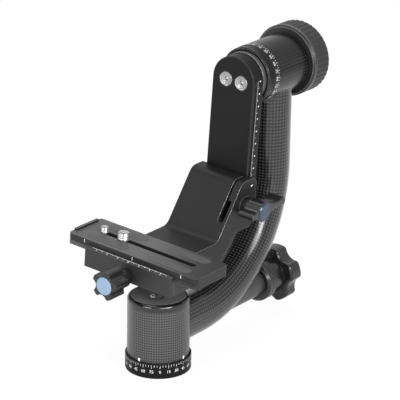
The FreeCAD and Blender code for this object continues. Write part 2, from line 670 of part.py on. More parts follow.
j_arm = new_body("j_arm")
arm_pipe(j_arm, "PartDesign::AdditivePipe", "arm_radius")
barrel = new_sketch(j_arm, "XZ", "-barrel_rear")
add_circle(barrel, "0", "tilt_height", "barrel_radius")
raise_from(j_arm, barrel, "barrel_rear - barrel_front")
round_edges(j_arm, lambda edge: edge.BoundBox.ZMin > size.tilt_height - size.barrel_radius - size.arm_wall
            and edge.BoundBox.ZMax < size.tilt_height - size.arm_wall
            and edge.BoundBox.YMin > size.barrel_front + NEAR
            and edge.BoundBox.YMax < size.barrel_rear - NEAR, "barrel_blend")
barrel_bore = new_sketch(j_arm, "XZ", "-barrel_rear")
add_circle(barrel_bore, "0", "tilt_height", "barrel_radius - barrel_wall")
cut_from(j_arm, barrel_bore, "barrel_rear - barrel_front", back=True)
arm_pipe(j_arm, "PartDesign::SubtractivePipe", "arm_radius - arm_wall")
saddle = new_sketch(j_arm, "XY")
add_circle(saddle, "0", "0", "tube_radius")
cut_from(j_arm, saddle, "cap_top", back=True)
boss_hole = new_sketch(j_arm, "XZ", "-boss_start")
add_circle(boss_hole, "0", "lock_height", "boss_radius")
cut_from(j_arm, boss_hole, "arm_rise - boss_start")
collar_seat = new_sketch(j_arm, "XZ", "-collar_start")
add_circle(collar_seat, "0", "lock_height", "collar_radius + slide_gap")
cut_from(j_arm, collar_seat, "arm_rise - collar_start", may_miss=True)
keep(j_arm)

# Plug that joins the arm to the housing core
arm_plug = new_body("arm_plug")
plug_face = new_sketch(arm_plug, "XZ", "-plug_reach")
add_circle(plug_face, "0", "root_height", "arm_radius - arm_wall")
add_circle(plug_face, "0", "lock_height", "rod_radius + turn_gap")
raise_from(arm_plug, plug_face, "plug_reach")
plug_saddle = new_sketch(arm_plug, "XY")
add_circle(plug_saddle, "0", "0", "tube_radius - tube_wall")
cut_from(arm_plug, plug_saddle, "cap_top", back=True)
keep(arm_plug)

# ---------------------------------------------------------------------------------------------
# Pan lock
# ---------------------------------------------------------------------------------------------

LOCK_AXIS = Vector(0, 0, size.lock_height)

keep(ring("lock_boss", "rod_radius + turn_gap", "boss_radius", "boss_start", "collar_start"),
     STILL, LOCK_AXIS, REAR)
lock_collar = turned("lock_collar", (
    ("rod_radius + turn_gap", "collar_start"), ("collar_radius - collar_bevel", "collar_start"),
    ("collar_radius", "collar_start + collar_bevel"), ("collar_radius", "collar_start + collar_length"),
    ("rod_radius + turn_gap", "collar_start + collar_length")))
keep(lock_collar, STILL, LOCK_AXIS, REAR)
keep(ring("brake_shoe", "0", "shoe_radius", "spindle_radius + slide_gap",
          "spindle_radius + slide_gap + shoe_length"), STILL, LOCK_AXIS, REAR)
keep(ring("pan_lock_rod", "0", "rod_radius", "spindle_radius + slide_gap + shoe_length",
          "collar_start + collar_length + pan_hub_length"), STILL, LOCK_AXIS, REAR)


def star(body, low, length, radius, scallop_circle, scallop_radius, lobes, phase):
    """A lobed grip: a disc with equal hollows around its rim."""
    disc = new_sketch(body, "XY", low)
    add_circle(disc, "0", "0", radius)
    raise_from(body, disc, length)
    hollow = new_sketch(body, "XY", low)
    add_circle(hollow, f"{scallop_circle} * cos({phase} * 1deg)", f"{scallop_circle} * sin({phase} * 1deg)",
               scallop_radius)
    polar(body, cut_from(body, hollow, length, back=True), lobes)


def lobe_flank(low, high):
    """A test for the straight edges that run the length of a star's lobes."""
    def test(edge):
        box = edge.BoundBox
        upright = len(edge.Vertexes) == 2 and box.XLength < NEAR and box.YLength < NEAR
        return upright and abs(box.ZMin - low) < NEAR and abs(box.ZMax - high) < NEAR
    return test


def outer_rim(height, inside):
    """A test for the edges of an end face that lie outside a given radius."""
    def test(edge):
        middle = edge.valueAt((edge.FirstParameter + edge.LastParameter) / 2)
        return through(None, None, height)(edge) and math.hypot(middle.x, middle.y) > inside
    return test


pan_knob = new_body("pan_knob")
star(pan_knob, "pan_hub_length", "pan_grip_length", "pan_grip_radius", "pan_scallop_circle",
     "pan_scallop_radius", "pan_grip_lobes", "pan_grip_phase")
round_edges(pan_knob, lobe_flank(size.pan_hub_length, size.pan_hub_length + size.pan_grip_length),
            "pan_lobe_round")
pan_rims = either(outer_rim(size.pan_hub_length, 0), outer_rim(size.pan_hub_length + size.pan_grip_length, 0))
round_edges(pan_knob, pan_rims, "pan_edge_round")
pan_hub = new_sketch(pan_knob, "XY", "slide_gap")
add_circle(pan_hub, "0", "0", "collar_radius")
raise_from(pan_knob, pan_hub, "pan_flange_length")
pan_neck = new_sketch(pan_knob, "XY", "slide_gap")
add_circle(pan_neck, "0", "0", "pan_hub_radius")
raise_from(pan_knob, pan_neck, "pan_hub_length")
pan_bore = new_sketch(pan_knob, "XY")
add_circle(pan_bore, "0", "0", "rod_radius + turn_gap")
cut_from(pan_knob, pan_bore, "pan_hub_length + slide_gap", back=True)
keep(pan_knob, STILL, Vector(0, size.collar_start + size.collar_length, size.lock_height), REAR)

# ---------------------------------------------------------------------------------------------
# Tilt axis
# ---------------------------------------------------------------------------------------------

TILT_AXIS = Vector(0, 0, size.tilt_height)

# Bushes of the barrel
keep(ring("front_tilt_bush", "shaft_radius + turn_gap", "barrel_radius - barrel_wall",
          "barrel_front + tilt_bush_inset", "barrel_front + tilt_bush_inset + tilt_bush_length"),
     STILL, TILT_AXIS, REAR)
keep(ring("rear_tilt_bush", "shaft_radius + turn_gap", "barrel_radius - barrel_wall",
          "barrel_rear - tilt_bush_inset - tilt_bush_length", "barrel_rear - tilt_bush_inset"),
     STILL, TILT_AXIS, REAR)

# Pressure disc that the tilt knob pushes against the barrel
keep(ring("pressure_disc", "stud_radius + turn_gap", "disc_radius", "barrel_rear + slide_gap",
          "barrel_rear + slide_gap + disc_thick"), STILL, TILT_AXIS, REAR)

# Tilt knob: metal core with a smooth front lip, ribbed rubber ring, thread insert and rear cap
KNOB_FRONT = "barrel_rear + slide_gap + disc_thick"
tilt_core = turned("tilt_knob_core", (
    ("stud_radius + insert_wall", KNOB_FRONT), ("tilt_knob_radius - tilt_lip_bevel", KNOB_FRONT),
    ("tilt_knob_radius", KNOB_FRONT + " + tilt_lip_bevel"),
    ("tilt_knob_radius", KNOB_FRONT + " + tilt_lip_length"),
    ("tilt_core_radius", KNOB_FRONT + " + tilt_lip_length"), ("tilt_core_radius", "tilt_knob_rear"),
    ("tilt_cap_radius", "tilt_knob_rear"), ("tilt_cap_radius", "tilt_knob_rear - tilt_cap_depth"),
    ("stud_radius + insert_wall", "tilt_knob_rear - tilt_cap_depth")))
keep(tilt_core, STILL, TILT_AXIS, REAR)
tilt_grip = ring("tilt_knob_grip", "tilt_core_radius", "tilt_knob_radius",
                 KNOB_FRONT + " + tilt_lip_length", "tilt_knob_rear")
bevel_edges(tilt_grip, lambda edge: through(None, None, size.tilt_knob_rear)(edge)
            and abs(edge.Curve.Radius - size.tilt_knob_radius) < NEAR, "tilt_lip_bevel")
rib = new_sketch(tilt_grip, "XY", KNOB_FRONT + " + tilt_lip_length")
add_circle(rib, "tilt_knob_radius + rib_radius - rib_depth", "0", "rib_radius")
rib_cut = cut_from(tilt_grip, rib, "tilt_knob_rear - barrel_rear", back=True)
polar(tilt_grip, rib_cut, "rib_count")
keep(tilt_grip, STILL, TILT_AXIS, REAR)
keep(ring("tilt_knob_insert", "stud_radius + turn_gap", "stud_radius + insert_wall", KNOB_FRONT,
          "tilt_knob_rear - tilt_cap_depth"), STILL, TILT_AXIS, REAR)
keep(ring("tilt_knob_cap", "0", "tilt_cap_radius", "tilt_knob_rear - tilt_cap_depth", "tilt_knob_rear"),
     STILL, TILT_AXIS, REAR)

# Shaft, flange and spacer, which swing with the rail
RAIL_REAR = "rail_front + rail_thick"
tilt_shaft = turned("tilt_shaft", (
    ("0", "barrel_front - slide_gap"), ("shaft_radius", "barrel_front - slide_gap"),
    ("shaft_radius", "shaft_rear"), ("stud_radius", "shaft_rear"), ("stud_radius", "stud_end"),
    ("0", "stud_end")))
keep(tilt_shaft, SWING, Vector(), REAR)
tilt_flange = turned("tilt_flange", (
    ("0", "tilt_flange_front"), ("tilt_flange_radius - tilt_flange_bevel", "tilt_flange_front"),
    ("tilt_flange_radius", "tilt_flange_front + tilt_flange_bevel"),
    ("tilt_flange_radius", "barrel_front - slide_gap"), ("0", "barrel_front - slide_gap")))
tilt_spacer = ring("tilt_spacer", "0", "spacer_radius", RAIL_REAR, "tilt_flange_front")
for disc in (tilt_flange, tilt_spacer):
    screw_holes = new_sketch(disc, "XY", RAIL_REAR)
    add_circle(screw_holes, "rail_screw_reach", "0", "rail_screw_shank")
    add_circle(screw_holes, "-rail_screw_reach", "0", "rail_screw_shank")
    cut_from(disc, screw_holes, "rail_screw_length - rail_thick", back=True)
    keep(disc, SWING, Vector(), REAR)

# ---------------------------------------------------------------------------------------------
# Rail: hangs from the tilt flange
# ---------------------------------------------------------------------------------------------

swing_rail = new_body("swing_rail")
rail_face = new_sketch(swing_rail, "XZ", "-rail_front")
add_box(rail_face, "-rail_half", "-rail_drop", "rail_half", "0")
raise_from(swing_rail, rail_face, "rail_thick", back=True)
rail_head = new_sketch(swing_rail, "XZ", "-rail_front")
add_circle(rail_head, "0", "0", "rail_half")
raise_from(swing_rail, rail_head, "rail_thick", back=True)
rail_grooves = new_sketch(swing_rail, "XY", "-rail_drop")
for side in ("", "-"):
    add_outline(rail_grooves, (
        (side + "rail_half", "rail_front + groove_start"),
        (side + "(rail_half - groove_depth)", "rail_front + groove_start + groove_width / 2"),
        (side + "rail_half", "rail_front + groove_start + groove_width"),
        (side + "(rail_half + groove_depth)", "rail_front + groove_start + groove_width / 2")))
cut_from(swing_rail, rail_grooves, "rail_drop", back=True)
bevel_edges(swing_rail, through(None, size.rail_front, None), "rail_edge")
head_seats = new_sketch(swing_rail, "XZ", "-rail_front")
shank_holes = new_sketch(swing_rail, "XZ", "-rail_front")
for side in ("", "-"):
    add_circle(head_seats, side + "rail_screw_reach", "0", "rail_screw_radius")
    add_circle(shank_holes, side + "rail_screw_reach", "0", "rail_screw_shank")
cut_from(swing_rail, head_seats, "rail_screw_head")
cut_from(swing_rail, shank_holes, "rail_thick")
stop_hole = new_sketch(swing_rail, "XY", "-rail_drop")
add_circle(stop_hole, "0", "rail_front + rail_thick / 2", "stop_screw_radius")
cut_from(swing_rail, stop_hole, "stop_screw_length - stop_thick", back=True)
keep(swing_rail, SWING)

# Rail screws: flat heads with a dished face and a hexagon socket
rail_screw = turned("rail_screw_pattern", (
    ("0", "rail_screw_dish"), ("rail_screw_floor", "rail_screw_dish"),
    ("rail_screw_radius - rail_screw_dish", "rail_screw_dish / 3"), ("rail_screw_radius - rail_edge", "0"),
    ("rail_screw_radius", "rail_edge"), ("rail_screw_radius", "rail_screw_head"),
    ("rail_screw_shank", "rail_screw_head"), ("rail_screw_shank", "rail_screw_length"),
    ("0", "rail_screw_length")))
rail_socket = new_sketch(rail_screw, "XY", "rail_screw_dish")
add_hexagon(rail_socket, "rail_hex_radius")
cut_from(rail_screw, rail_socket, "rail_screw_head / 2", back=True)
copies("rail_screws", rail_screw, SWING, [
    Vector(side * size.rail_screw_reach, size.rail_front, 0) for side in (-1, 1)], REAR)

# Stop plate under the rail, which keeps the platform from sliding off
rail_stop = new_body("rail_stop")
stop_face = new_sketch(rail_stop, "XY", "-rail_drop")
add_box(stop_face, "-stop_half", "rail_front - stop_lead", "stop_half", RAIL_REAR)
add_circle(stop_face, "0", "rail_front + rail_thick / 2", "stop_screw_radius")
raise_from(rail_stop, stop_face, "stop_thick", back=True)
keep(rail_stop, SWING)
keep(turned("rail_stop_screw", (
    ("0", "-stop_thick - stop_head_height"), ("stop_head_radius", "-stop_thick - stop_head_height"),
    ("stop_head_radius", "-stop_thick"), ("stop_screw_radius", "-stop_thick"),
    ("stop_screw_radius", "stop_screw_length - stop_thick"), ("0", "stop_screw_length - stop_thick"))),
    SWING, Vector(0, size.rail_front + size.rail_thick / 2, -size.rail_drop))

# ---------------------------------------------------------------------------------------------
# Platform bracket: slides on the rail and carries the lens clamp
# ---------------------------------------------------------------------------------------------

PLATE_REAR = "plate_front + plate_width"
VEE_HIGH = "plate_top - plate_band"
VEE_MID = "plate_top - plate_band - vee_depth"
VEE_LOW = "plate_top - plate_band - 2 * vee_depth"

platform_bracket = new_body("platform_bracket")
side_face = new_sketch(platform_bracket, "YZ")
add_outline(side_face, (
    ("bracket_crest", "bracket_top"), ("bracket_rear", "bracket_top"),
    ("bracket_rear", "flank_bottom + flank_chamfer"), ("bracket_rear - flank_chamfer", "flank_bottom"),
    ("neck_rear", "flank_bottom"), ("neck_low", "neck_low_height"),
    ("tongue_rear + slide_gap", "clamp_bottom"), ("tongue_rear + slide_gap", "tongue_top"),
    (PLATE_REAR + " + slide_gap", "tongue_top"), (PLATE_REAR + " + slide_gap", VEE_LOW),
    (PLATE_REAR + " + slide_gap - vee_depth", VEE_MID), (PLATE_REAR + " + slide_gap", VEE_HIGH),
    (PLATE_REAR + " + slide_gap", "platform_top"), ("ramp_foot", "platform_top")))
raise_from(platform_bracket, side_face, "2 * bracket_half", both=True)
round_edges(platform_bracket, through(None, size.bracket_crest, size.bracket_top), "crest_round")
round_edges(platform_bracket, through(None, size.bracket_rear, size.bracket_top), "rear_round")
round_edges(platform_bracket, through(None, size.ramp_foot, size.platform_top), "ramp_round")
round_edges(platform_bracket, through(None, size.neck_rear, size.flank_bottom), "neck_round")
channel = new_sketch(platform_bracket, "XY", "bracket_top")
LIP_MID = "rail_front + groove_start + groove_width / 2"
LIP_TIP = "(rail_half - groove_depth + lip_gap)"
add_outline(channel, (
    ("-rail_half - slide_gap", "rail_front - slide_gap"), ("rail_half + slide_gap", "rail_front - slide_gap"),
    ("rail_half + slide_gap", "rail_front + groove_start + lip_gap"), (LIP_TIP, LIP_MID),
    ("rail_half + slide_gap", "rail_front + groove_start + groove_width - lip_gap"),
    ("rail_half + slide_gap", "bracket_rear"), ("-rail_half - slide_gap", "bracket_rear"),
    ("-rail_half - slide_gap", "rail_front + groove_start + groove_width - lip_gap"),
    ("-" + LIP_TIP, LIP_MID), ("-rail_half - slide_gap", "rail_front + groove_start + lip_gap")))
cut_from(platform_bracket, channel, "bracket_top - clamp_bottom")
slit = new_sketch(platform_bracket, "XZ", "-rail_front")
add_box(slit, "slit_reach", "slit_bottom - slit_width", "slit_reach + slit_width", "bracket_top")
cut_from(platform_bracket, slit, "rail_front - tongue_rear", back=True)
relief = new_sketch(platform_bracket, "XZ", "-rail_front")
add_box(relief, "slit_reach", "relief_bottom", "slit_reach + relief_width", "slit_bottom")
cut_from(platform_bracket, relief, "rail_front - tongue_rear", back=True)
round_edges(platform_bracket, either(
    through(size.slit_reach, None, size.relief_bottom),
    through(size.slit_reach + size.relief_width, None, size.relief_bottom)), "relief_width * relief_share")
lock_hole = new_sketch(platform_bracket, "YZ", "bracket_half")
add_circle(lock_hole, "height_screw_depth", "height_screw_level", "knob_screw_radius + turn_gap")
cut_from(platform_bracket, lock_hole, "height_screw_reach")
thread_holes = new_sketch(platform_bracket, "XY", "tongue_top")
for side in ("", "-"):
    add_circle(thread_holes, side + "clamp_screw_reach", "clamp_screw_depth", "clamp_screw_radius")
cut_from(platform_bracket, thread_holes, "clamp_screw_bite", back=True)
keep(platform_bracket, SWING)

# ---------------------------------------------------------------------------------------------
# Lens clamp
# ---------------------------------------------------------------------------------------------

FLOOR = "plate_top - plate_thick - slide_gap"
CLAMP_RIGHT = "clamp_left + clamp_length"

clamp_body = new_body("clamp_body")
bed = new_sketch(clamp_body, "XY", "clamp_bottom")
add_box(bed, "clamp_left", "clamp_front", CLAMP_RIGHT, "clamp_rear")
raise_from(clamp_body, bed, FLOOR + " - clamp_bottom")
tongue = new_sketch(clamp_body, "XY", "clamp_bottom")
add_box(tongue, "-tongue_half", "clamp_front", "tongue_half", "tongue_rear")
raise_from(clamp_body, tongue, "tongue_top - clamp_bottom")
bed_front = new_sketch(clamp_body, "XZ", "-clamp_front")
add_circle(bed_front, "plate_screw_across", "plate_screw_level", "knob_screw_radius + turn_gap")
cut_from(clamp_body, bed_front, "plate_screw_reach", back=False)
spring_seat = new_sketch(clamp_body, "XZ", "-clamp_front")
add_circle(spring_seat, "plate_screw_across", "plate_screw_level", "spring_radius")
cut_from(clamp_body, spring_seat, "spring_length")
pin_holes = new_sketch(clamp_body, "XZ", "-clamp_front")
for side in ("+", "-"):
    add_circle(pin_holes, "plate_screw_across " + side + " jaw_pin_reach", "plate_screw_level",
               "jaw_pin_radius")
cut_from(clamp_body, pin_holes, "jaw_pin_length - jaw_pin_bite - slide_gap")
tongue_holes = new_sketch(clamp_body, "XY", "clamp_bottom")
tongue_heads = new_sketch(clamp_body, "XY", "clamp_bottom")
for side in ("", "-"):
    add_circle(tongue_holes, side + "clamp_screw_reach", "clamp_screw_depth", "clamp_screw_radius")
    add_circle(tongue_heads, side + "clamp_screw_reach", "clamp_screw_depth", "clamp_head_radius")
cut_from(clamp_body, tongue_holes, "tongue_top - clamp_bottom", back=True)
cut_from(clamp_body, tongue_heads, "clamp_head_height", back=True)
keep(clamp_body, SWING)

clamp_screw = turned("clamp_screw_pattern", (
    ("0", "clamp_bottom"), ("clamp_head_radius", "clamp_bottom"),
    ("clamp_head_radius", "clamp_bottom + clamp_head_height"),
    ("clamp_screw_radius", "clamp_bottom + clamp_head_height"),
    ("clamp_screw_radius", "tongue_top + clamp_screw_bite"), ("0", "tongue_top + clamp_screw_bite")))
copies("clamp_screws", clamp_screw, SWING, [
    Vector(side * size.clamp_screw_reach, size.clamp_screw_depth, 0) for side in (-1, 1)])

jaw_pin = ring("jaw_pin_pattern", "0", "jaw_pin_radius", "0", "jaw_pin_length")
copies("jaw_pins", jaw_pin, SWING, [
    Vector(size.plate_screw_across + side * size.jaw_pin_reach,
           size.clamp_front - size.slide_gap - size.jaw_pin_bite, size.plate_screw_level)
    for side in (-1, 1)], REAR)
keep(ring("jaw_spring", "spring_radius - spring_wall", "spring_radius", "0", "spring_length"),
     SWING, Vector(size.plate_screw_across, size.clamp_front, size.plate_screw_level), REAR)

# Front jaw with its lip in the plate's groove
clamp_jaw = new_body("clamp_jaw")
jaw_side = new_sketch(clamp_jaw, "YZ", "clamp_left")
add_outline(jaw_side, (
    ("jaw_front", "clamp_bottom"), ("clamp_front - slide_gap", "clamp_bottom"),
    ("clamp_front - slide_gap", FLOOR), ("plate_front - slide_gap", FLOOR),
    ("plate_front - slide_gap", VEE_LOW), ("plate_front - slide_gap + vee_depth", VEE_MID),
    ("plate_front - slide_gap", VEE_HIGH), ("plate_front - slide_gap", "jaw_top"), ("jaw_front", "jaw_top")))
raise_from(clamp_jaw, jaw_side, "clamp_length")
round_edges(clamp_jaw, through(size.clamp_left + size.clamp_length, size.jaw_front, None),
            "min(jaw_corner; plate_front - slide_gap - jaw_front - slide_gap)")
slope = new_sketch(clamp_jaw, "YZ", "clamp_left")
add_outline(slope, (("jaw_front", "jaw_top - jaw_slope_height"), ("jaw_front + jaw_slope_depth", "jaw_top"),
                    ("jaw_front", "jaw_top")))
cut_from(clamp_jaw, slope, "clamp_length", back=True)
jaw_hole = new_sketch(clamp_jaw, "XZ", "-jaw_front")
add_circle(jaw_hole, "plate_screw_across", "plate_screw_level", "knob_screw_radius + turn_gap")
cut_from(clamp_jaw, jaw_hole, "clamp_front - jaw_front")
jaw_sockets = new_sketch(clamp_jaw, "XZ", "slide_gap - clamp_front")
for side in ("+", "-"):
    add_circle(jaw_sockets, "plate_screw_across " + side + " jaw_pin_reach", "plate_screw_level",
               "jaw_pin_radius + turn_gap")
cut_from(clamp_jaw, jaw_sockets, "jaw_pin_bite + slide_gap", back=True)
keep(clamp_jaw, SWING)

# ---------------------------------------------------------------------------------------------
# Small knobs
# ---------------------------------------------------------------------------------------------


def small_knob(name, grip_body, neck, hub, grip, reach, spot, way):
    """Neck and hub behind a grip, a coloured cap in its end and the screw that it turns."""
    low = getattr(size, hub)
    high = low + getattr(size, grip)
    round_edges(grip_body, either(outer_rim(low, 0), outer_rim(high, 0)), "knob_edge_round")
    neck_face = new_sketch(grip_body, "XY")
    add_circle(neck_face, "0", "0", "knob_neck_radius")
    raise_from(grip_body, neck_face, neck)
    hub_face = new_sketch(grip_body, "XY", neck)
    add_circle(hub_face, "0", "0", "knob_hub_radius")
    raise_from(grip_body, hub_face, f"{hub} + knob_edge_round - {neck}")
    screw_hole = new_sketch(grip_body, "XY")
    add_circle(screw_hole, "0", "0", "knob_screw_radius")
    cut_from(grip_body, screw_hole, "knob_screw_hold", back=True)
    cap_seat = new_sketch(grip_body, "XY", hub + " + " + grip)
    add_circle(cap_seat, "0", "0", "knob_cap_radius")
    cut_from(grip_body, cap_seat, "knob_cap_depth")
    keep(grip_body, SWING, spot, way)
    cap = ring(name + "_cap", "0", "knob_cap_radius", f"{hub} + {grip} - knob_cap_depth",
               f"{hub} + {grip} + knob_cap_proud")
    bevel_edges(cap, through(None, None, high + size.knob_cap_proud), "knob_cap_proud")
    keep(cap, SWING, spot, way)
    keep(ring(name + "_screw", "0", "knob_screw_radius", "-" + reach, "knob_screw_hold"), SWING, spot, way)


def add_wings(sketch):
    """The outline of the height knob: a round hub, a long wing along +Y and a short one opposite.

    The hub's two arcs, the wings' tips and the four hollow flanks between them all meet smoothly.
    """
    hub = size.knob_grip_core
    arms = ((1, "wing_reach", "wing_tip_radius", "wing_hollow"),
            (-1, "tab_reach", "tab_tip_radius", "tab_hollow"))
    centre = Vector(0, 0, 0)
    rounds = []
    for way, reach, tip, hollow in arms:
        far, tip_radius, flank = getattr(size, reach), getattr(size, tip), getattr(size, hollow)
        inner, outer = hub + flank, tip_radius + flank
        along = (inner ** 2 - outer ** 2 + far ** 2) / (2 * far)
        aside = math.sqrt(inner ** 2 - along ** 2)
        tip_centre = Vector(0, way * far, 0)
        for side in (way, -way):
            flank_centre = Vector(side * aside, way * along, 0)
            rounds.append((flank_centre, flank, hollow, None))
            if side == way:
                rounds.append((tip_centre, tip_radius, tip, f"{way} * {reach}"))
        rounds.append((centre, hub, "knob_grip_core", "0"))
    count = len(rounds)
    joints = []
    for step in range(count):
        here, there = rounds[step - 1], rounds[step]
        near, small = (here, there) if here[3] is None else (there, here)
        joints.append(small[0] + (near[0] - small[0]).normalize() * small[1])
    first = sketch.GeometryCount
    for step, (middle, radius, alias, place) in enumerate(rounds):
        start, end = joints[step], joints[(step + 1) % count]
        angles = [math.atan2(spot.y - middle.y, spot.x - middle.x) for spot in (start, end)]
        low, high = reversed(angles) if place is None else angles
        circle = Part.Circle(middle, Vector(0, 0, 1), radius)
        sketch.addGeometry(Part.ArcOfCircle(circle, low, high), False)
    for step in range(count):
        following = (step + 1) % count
        leave = 1 if rounds[step][3] is None else 2
        enter = 2 if rounds[following][3] is None else 1
        sketch.addConstraint(Sketcher.Constraint("Tangent", first + step, leave, first + following, enter))
    for step, (middle, radius, alias, place) in enumerate(rounds):
        number = sketch.addConstraint(Sketcher.Constraint("Radius", first + step, radius))
        sketch.setExpression(f"Constraints[{number}]", named(alias))
        if place is not None:
            pin_point(sketch, first + step, 3, "0", place, middle)


plate_knob = new_body("plate_knob_grip")
star(plate_knob, "plate_hub_length", "plate_grip_length", "knob_radius", "knob_scallop_circle",
     "knob_scallop_radius", "knob_lobes", "plate_knob_phase")
round_edges(plate_knob, lobe_flank(size.plate_hub_length, size.plate_hub_length + size.plate_grip_length),
            "knob_lobe_round")
small_knob("plate_knob", plate_knob, "plate_neck_length", "plate_hub_length", "plate_grip_length",
           "plate_screw_reach", Vector(size.plate_screw_across, size.jaw_front, size.plate_screw_level),
           FRONT)

HEIGHT_LOCK = Vector(size.bracket_half + size.slide_gap, size.height_screw_depth, size.height_screw_level)
keep(ring("height_washer", "knob_screw_radius + turn_gap", "knob_hub_radius", "0", "washer_thick"),
     SWING, HEIGHT_LOCK, RIGHT)
height_knob = new_body("height_knob_grip")
wings = new_sketch(height_knob, "XY", "height_hub_length")
add_wings(wings)
raise_from(height_knob, wings, "height_grip_length")
small_knob("height_knob", height_knob, "height_neck_length", "height_hub_length", "height_grip_length",
           "height_screw_reach", HEIGHT_LOCK + Vector(size.washer_thick, 0, 0),
           RIGHT.multiply(Rotation(Vector(0, 0, 1), size.wing_lean)))

# ---------------------------------------------------------------------------------------------
# Lens plate and camera screws
# ---------------------------------------------------------------------------------------------

PLATE_BOTTOM = "plate_top - plate_thick"
PLATE_RIGHT = "plate_left + plate_length"
PLATE_MIDDLE = size.plate_front + size.plate_width / 2
SLOT_LINE = "plate_front + plate_width / 2"


def add_oblong(sketch, left, right, line, half):
    """A slot's outline with round ends."""
    centre_left = Vector(0, 0, 0)
    centre_right = Vector(10, 0, 0)
    first = sketch.GeometryCount
    up = Vector(0, 1, 0)
    sketch.addGeometry(Part.LineSegment(centre_left - up, centre_right - up), False)
    right_end = Part.ArcOfCircle(Part.Circle(centre_right, Vector(0, 0, 1), 1), -math.pi / 2, math.pi / 2)
    sketch.addGeometry(right_end, False)
    sketch.addGeometry(Part.LineSegment(centre_right + up, centre_left + up), False)
    left_end = Part.ArcOfCircle(Part.Circle(centre_left, Vector(0, 0, 1), 1), math.pi / 2, 3 * math.pi / 2)
    sketch.addGeometry(left_end, False)
    for step in range(4):
        following = first + (step + 1) % 4
        sketch.addConstraint(Sketcher.Constraint("Tangent", first + step, 2, following, 1))
    sketch.addConstraint(Sketcher.Constraint("Equal", first + 1, first + 3))
    pin_point(sketch, first + 3, 3, left + " + " + half, line, centre_left)
    pin_point(sketch, first + 1, 3, right + " - " + half, line, centre_right)
    number = sketch.addConstraint(Sketcher.Constraint("Radius", first + 1, 1.0))
    sketch.setExpression(f"Constraints[{number}]", named(half))


lens_plate = new_body("lens_plate")
plate_plan = new_sketch(lens_plate, "XY", "plate_top")
add_box(plate_plan, "plate_left", "plate_front", PLATE_RIGHT, PLATE_REAR)
raise_from(lens_plate, plate_plan, "plate_thick", back=True)
round_edges(lens_plate, lambda edge: edge.BoundBox.ZLength > NEAR, "plate_corner")
dovetail = new_sketch(lens_plate, "YZ", "plate_left")
for side, edge in (("+", "plate_front"), ("-", PLATE_REAR)):
    add_outline(dovetail, (
        (edge, VEE_LOW), (f"{edge} {side} vee_depth", VEE_MID), (edge, VEE_HIGH),
        (f"{edge} - ({side}vee_depth)", VEE_MID)))
cut_from(lens_plate, dovetail, "plate_length", back=True)
slot = new_sketch(lens_plate, "XY", "plate_top")
add_oblong(slot, "slot_left", "slot_right", SLOT_LINE, "slot_half")
cut_from(lens_plate, slot, "plate_thick")
under_channel = new_sketch(lens_plate, "XY", PLATE_BOTTOM)
add_oblong(under_channel, "(slot_left - channel_half + slot_half)", "(slot_right + channel_half - slot_half)",
           SLOT_LINE, "channel_half")
cut_from(lens_plate, under_channel, "channel_depth", back=True)
ridge = new_sketch(lens_plate, "XY", "plate_top")
add_box(ridge, "plate_left + ridge_inset", SLOT_LINE + " - ridge_half",
        "plate_left + ridge_inset + ridge_width", SLOT_LINE + " + ridge_half")
raise_from(lens_plate, ridge, "ridge_height")
for left in ("pad_left", "pad_right"):
    for side in ("+", "-"):
        seat = new_sketch(lens_plate, "XY", "plate_top")
        add_oblong(seat, left, f"({left} + pad_length)", f"{SLOT_LINE} {side} pad_offset", "pad_half")
        cut_from(lens_plate, seat, "pad_depth")
plate_stops = ((size.plate_left + size.plate_stop_reach, PLATE_MIDDLE + size.pad_offset),
               (size.plate_left + size.plate_length - size.plate_stop_reach, PLATE_MIDDLE - size.pad_offset))
stop_holes = new_sketch(lens_plate, "XY", PLATE_BOTTOM)
add_circle(stop_holes, "plate_left + plate_stop_reach", SLOT_LINE + " + pad_offset", "plate_stop_radius")
add_circle(stop_holes, PLATE_RIGHT + " - plate_stop_reach", SLOT_LINE + " - pad_offset", "plate_stop_radius")
cut_from(lens_plate, stop_holes, "plate_stop_bite", back=True)
keep(lens_plate, SWING)

plate_stop = turned("plate_stop_pattern", (
    ("0", "-plate_stop_proud"), ("plate_stop_head", "-plate_stop_proud"), ("plate_stop_head", "0"),
    ("plate_stop_radius", "0"), ("plate_stop_radius", "plate_stop_bite"), ("0", "plate_stop_bite")))
copies("plate_stops", plate_stop, SWING, [
    Vector(across, along, size.plate_top - size.plate_thick) for across, along in plate_stops])

pad_pattern = new_body("pad_pattern")
pad_face = new_sketch(pad_pattern, "XY", "-pad_depth")
add_oblong(pad_face, "-pad_length / 2", "pad_length / 2", "0", "pad_half")
raise_from(pad_pattern, pad_face, "pad_depth + pad_proud")
copies("plate_pads", pad_pattern, SWING, [
    Vector(left + size.pad_length / 2, PLATE_MIDDLE + side * size.pad_offset, size.plate_top)
    for left in (size.pad_left, size.pad_right) for side in (-1, 1)])


def camera_screw(name, across, radius, tall, hex_radius, hex_depth):
    """A screw that stands in the slot: head and washer in the channel, neck in the slot, thread on top."""
    ceiling = "channel_depth - plate_thick"
    spot = Vector(across, PLATE_MIDDLE, size.plate_top)
    keep(ring(name + "_washer", "screw_neck + turn_gap", "screw_head_radius",
              ceiling + " - slide_gap - screw_washer", ceiling + " - slide_gap"), SWING, spot)
    head_top = ceiling + " - slide_gap * 2 - screw_washer"
    screw = turned(name, (
        ("0", head_top + " - screw_head_height"), ("screw_head_radius", head_top + " - screw_head_height"),
        ("screw_head_radius", head_top), ("screw_neck", head_top), ("screw_neck", "slide_gap"),
        (radius, "slide_gap"), (radius, tall + " - rail_edge"), (radius + " - rail_edge", tall), ("0", tall)))
    coin = new_sketch(screw, "XY", head_top + " - screw_head_height")
    add_box(coin, "-screw_head_radius", "-screw_coin_half", "screw_head_radius", "screw_coin_half")
    cut_from(screw, coin, "screw_coin_depth", back=True)
    socket = new_sketch(screw, "XY", tall)
    add_hexagon(socket, hex_radius)
    cut_from(screw, socket, hex_depth)
    keep(screw, SWING, spot)


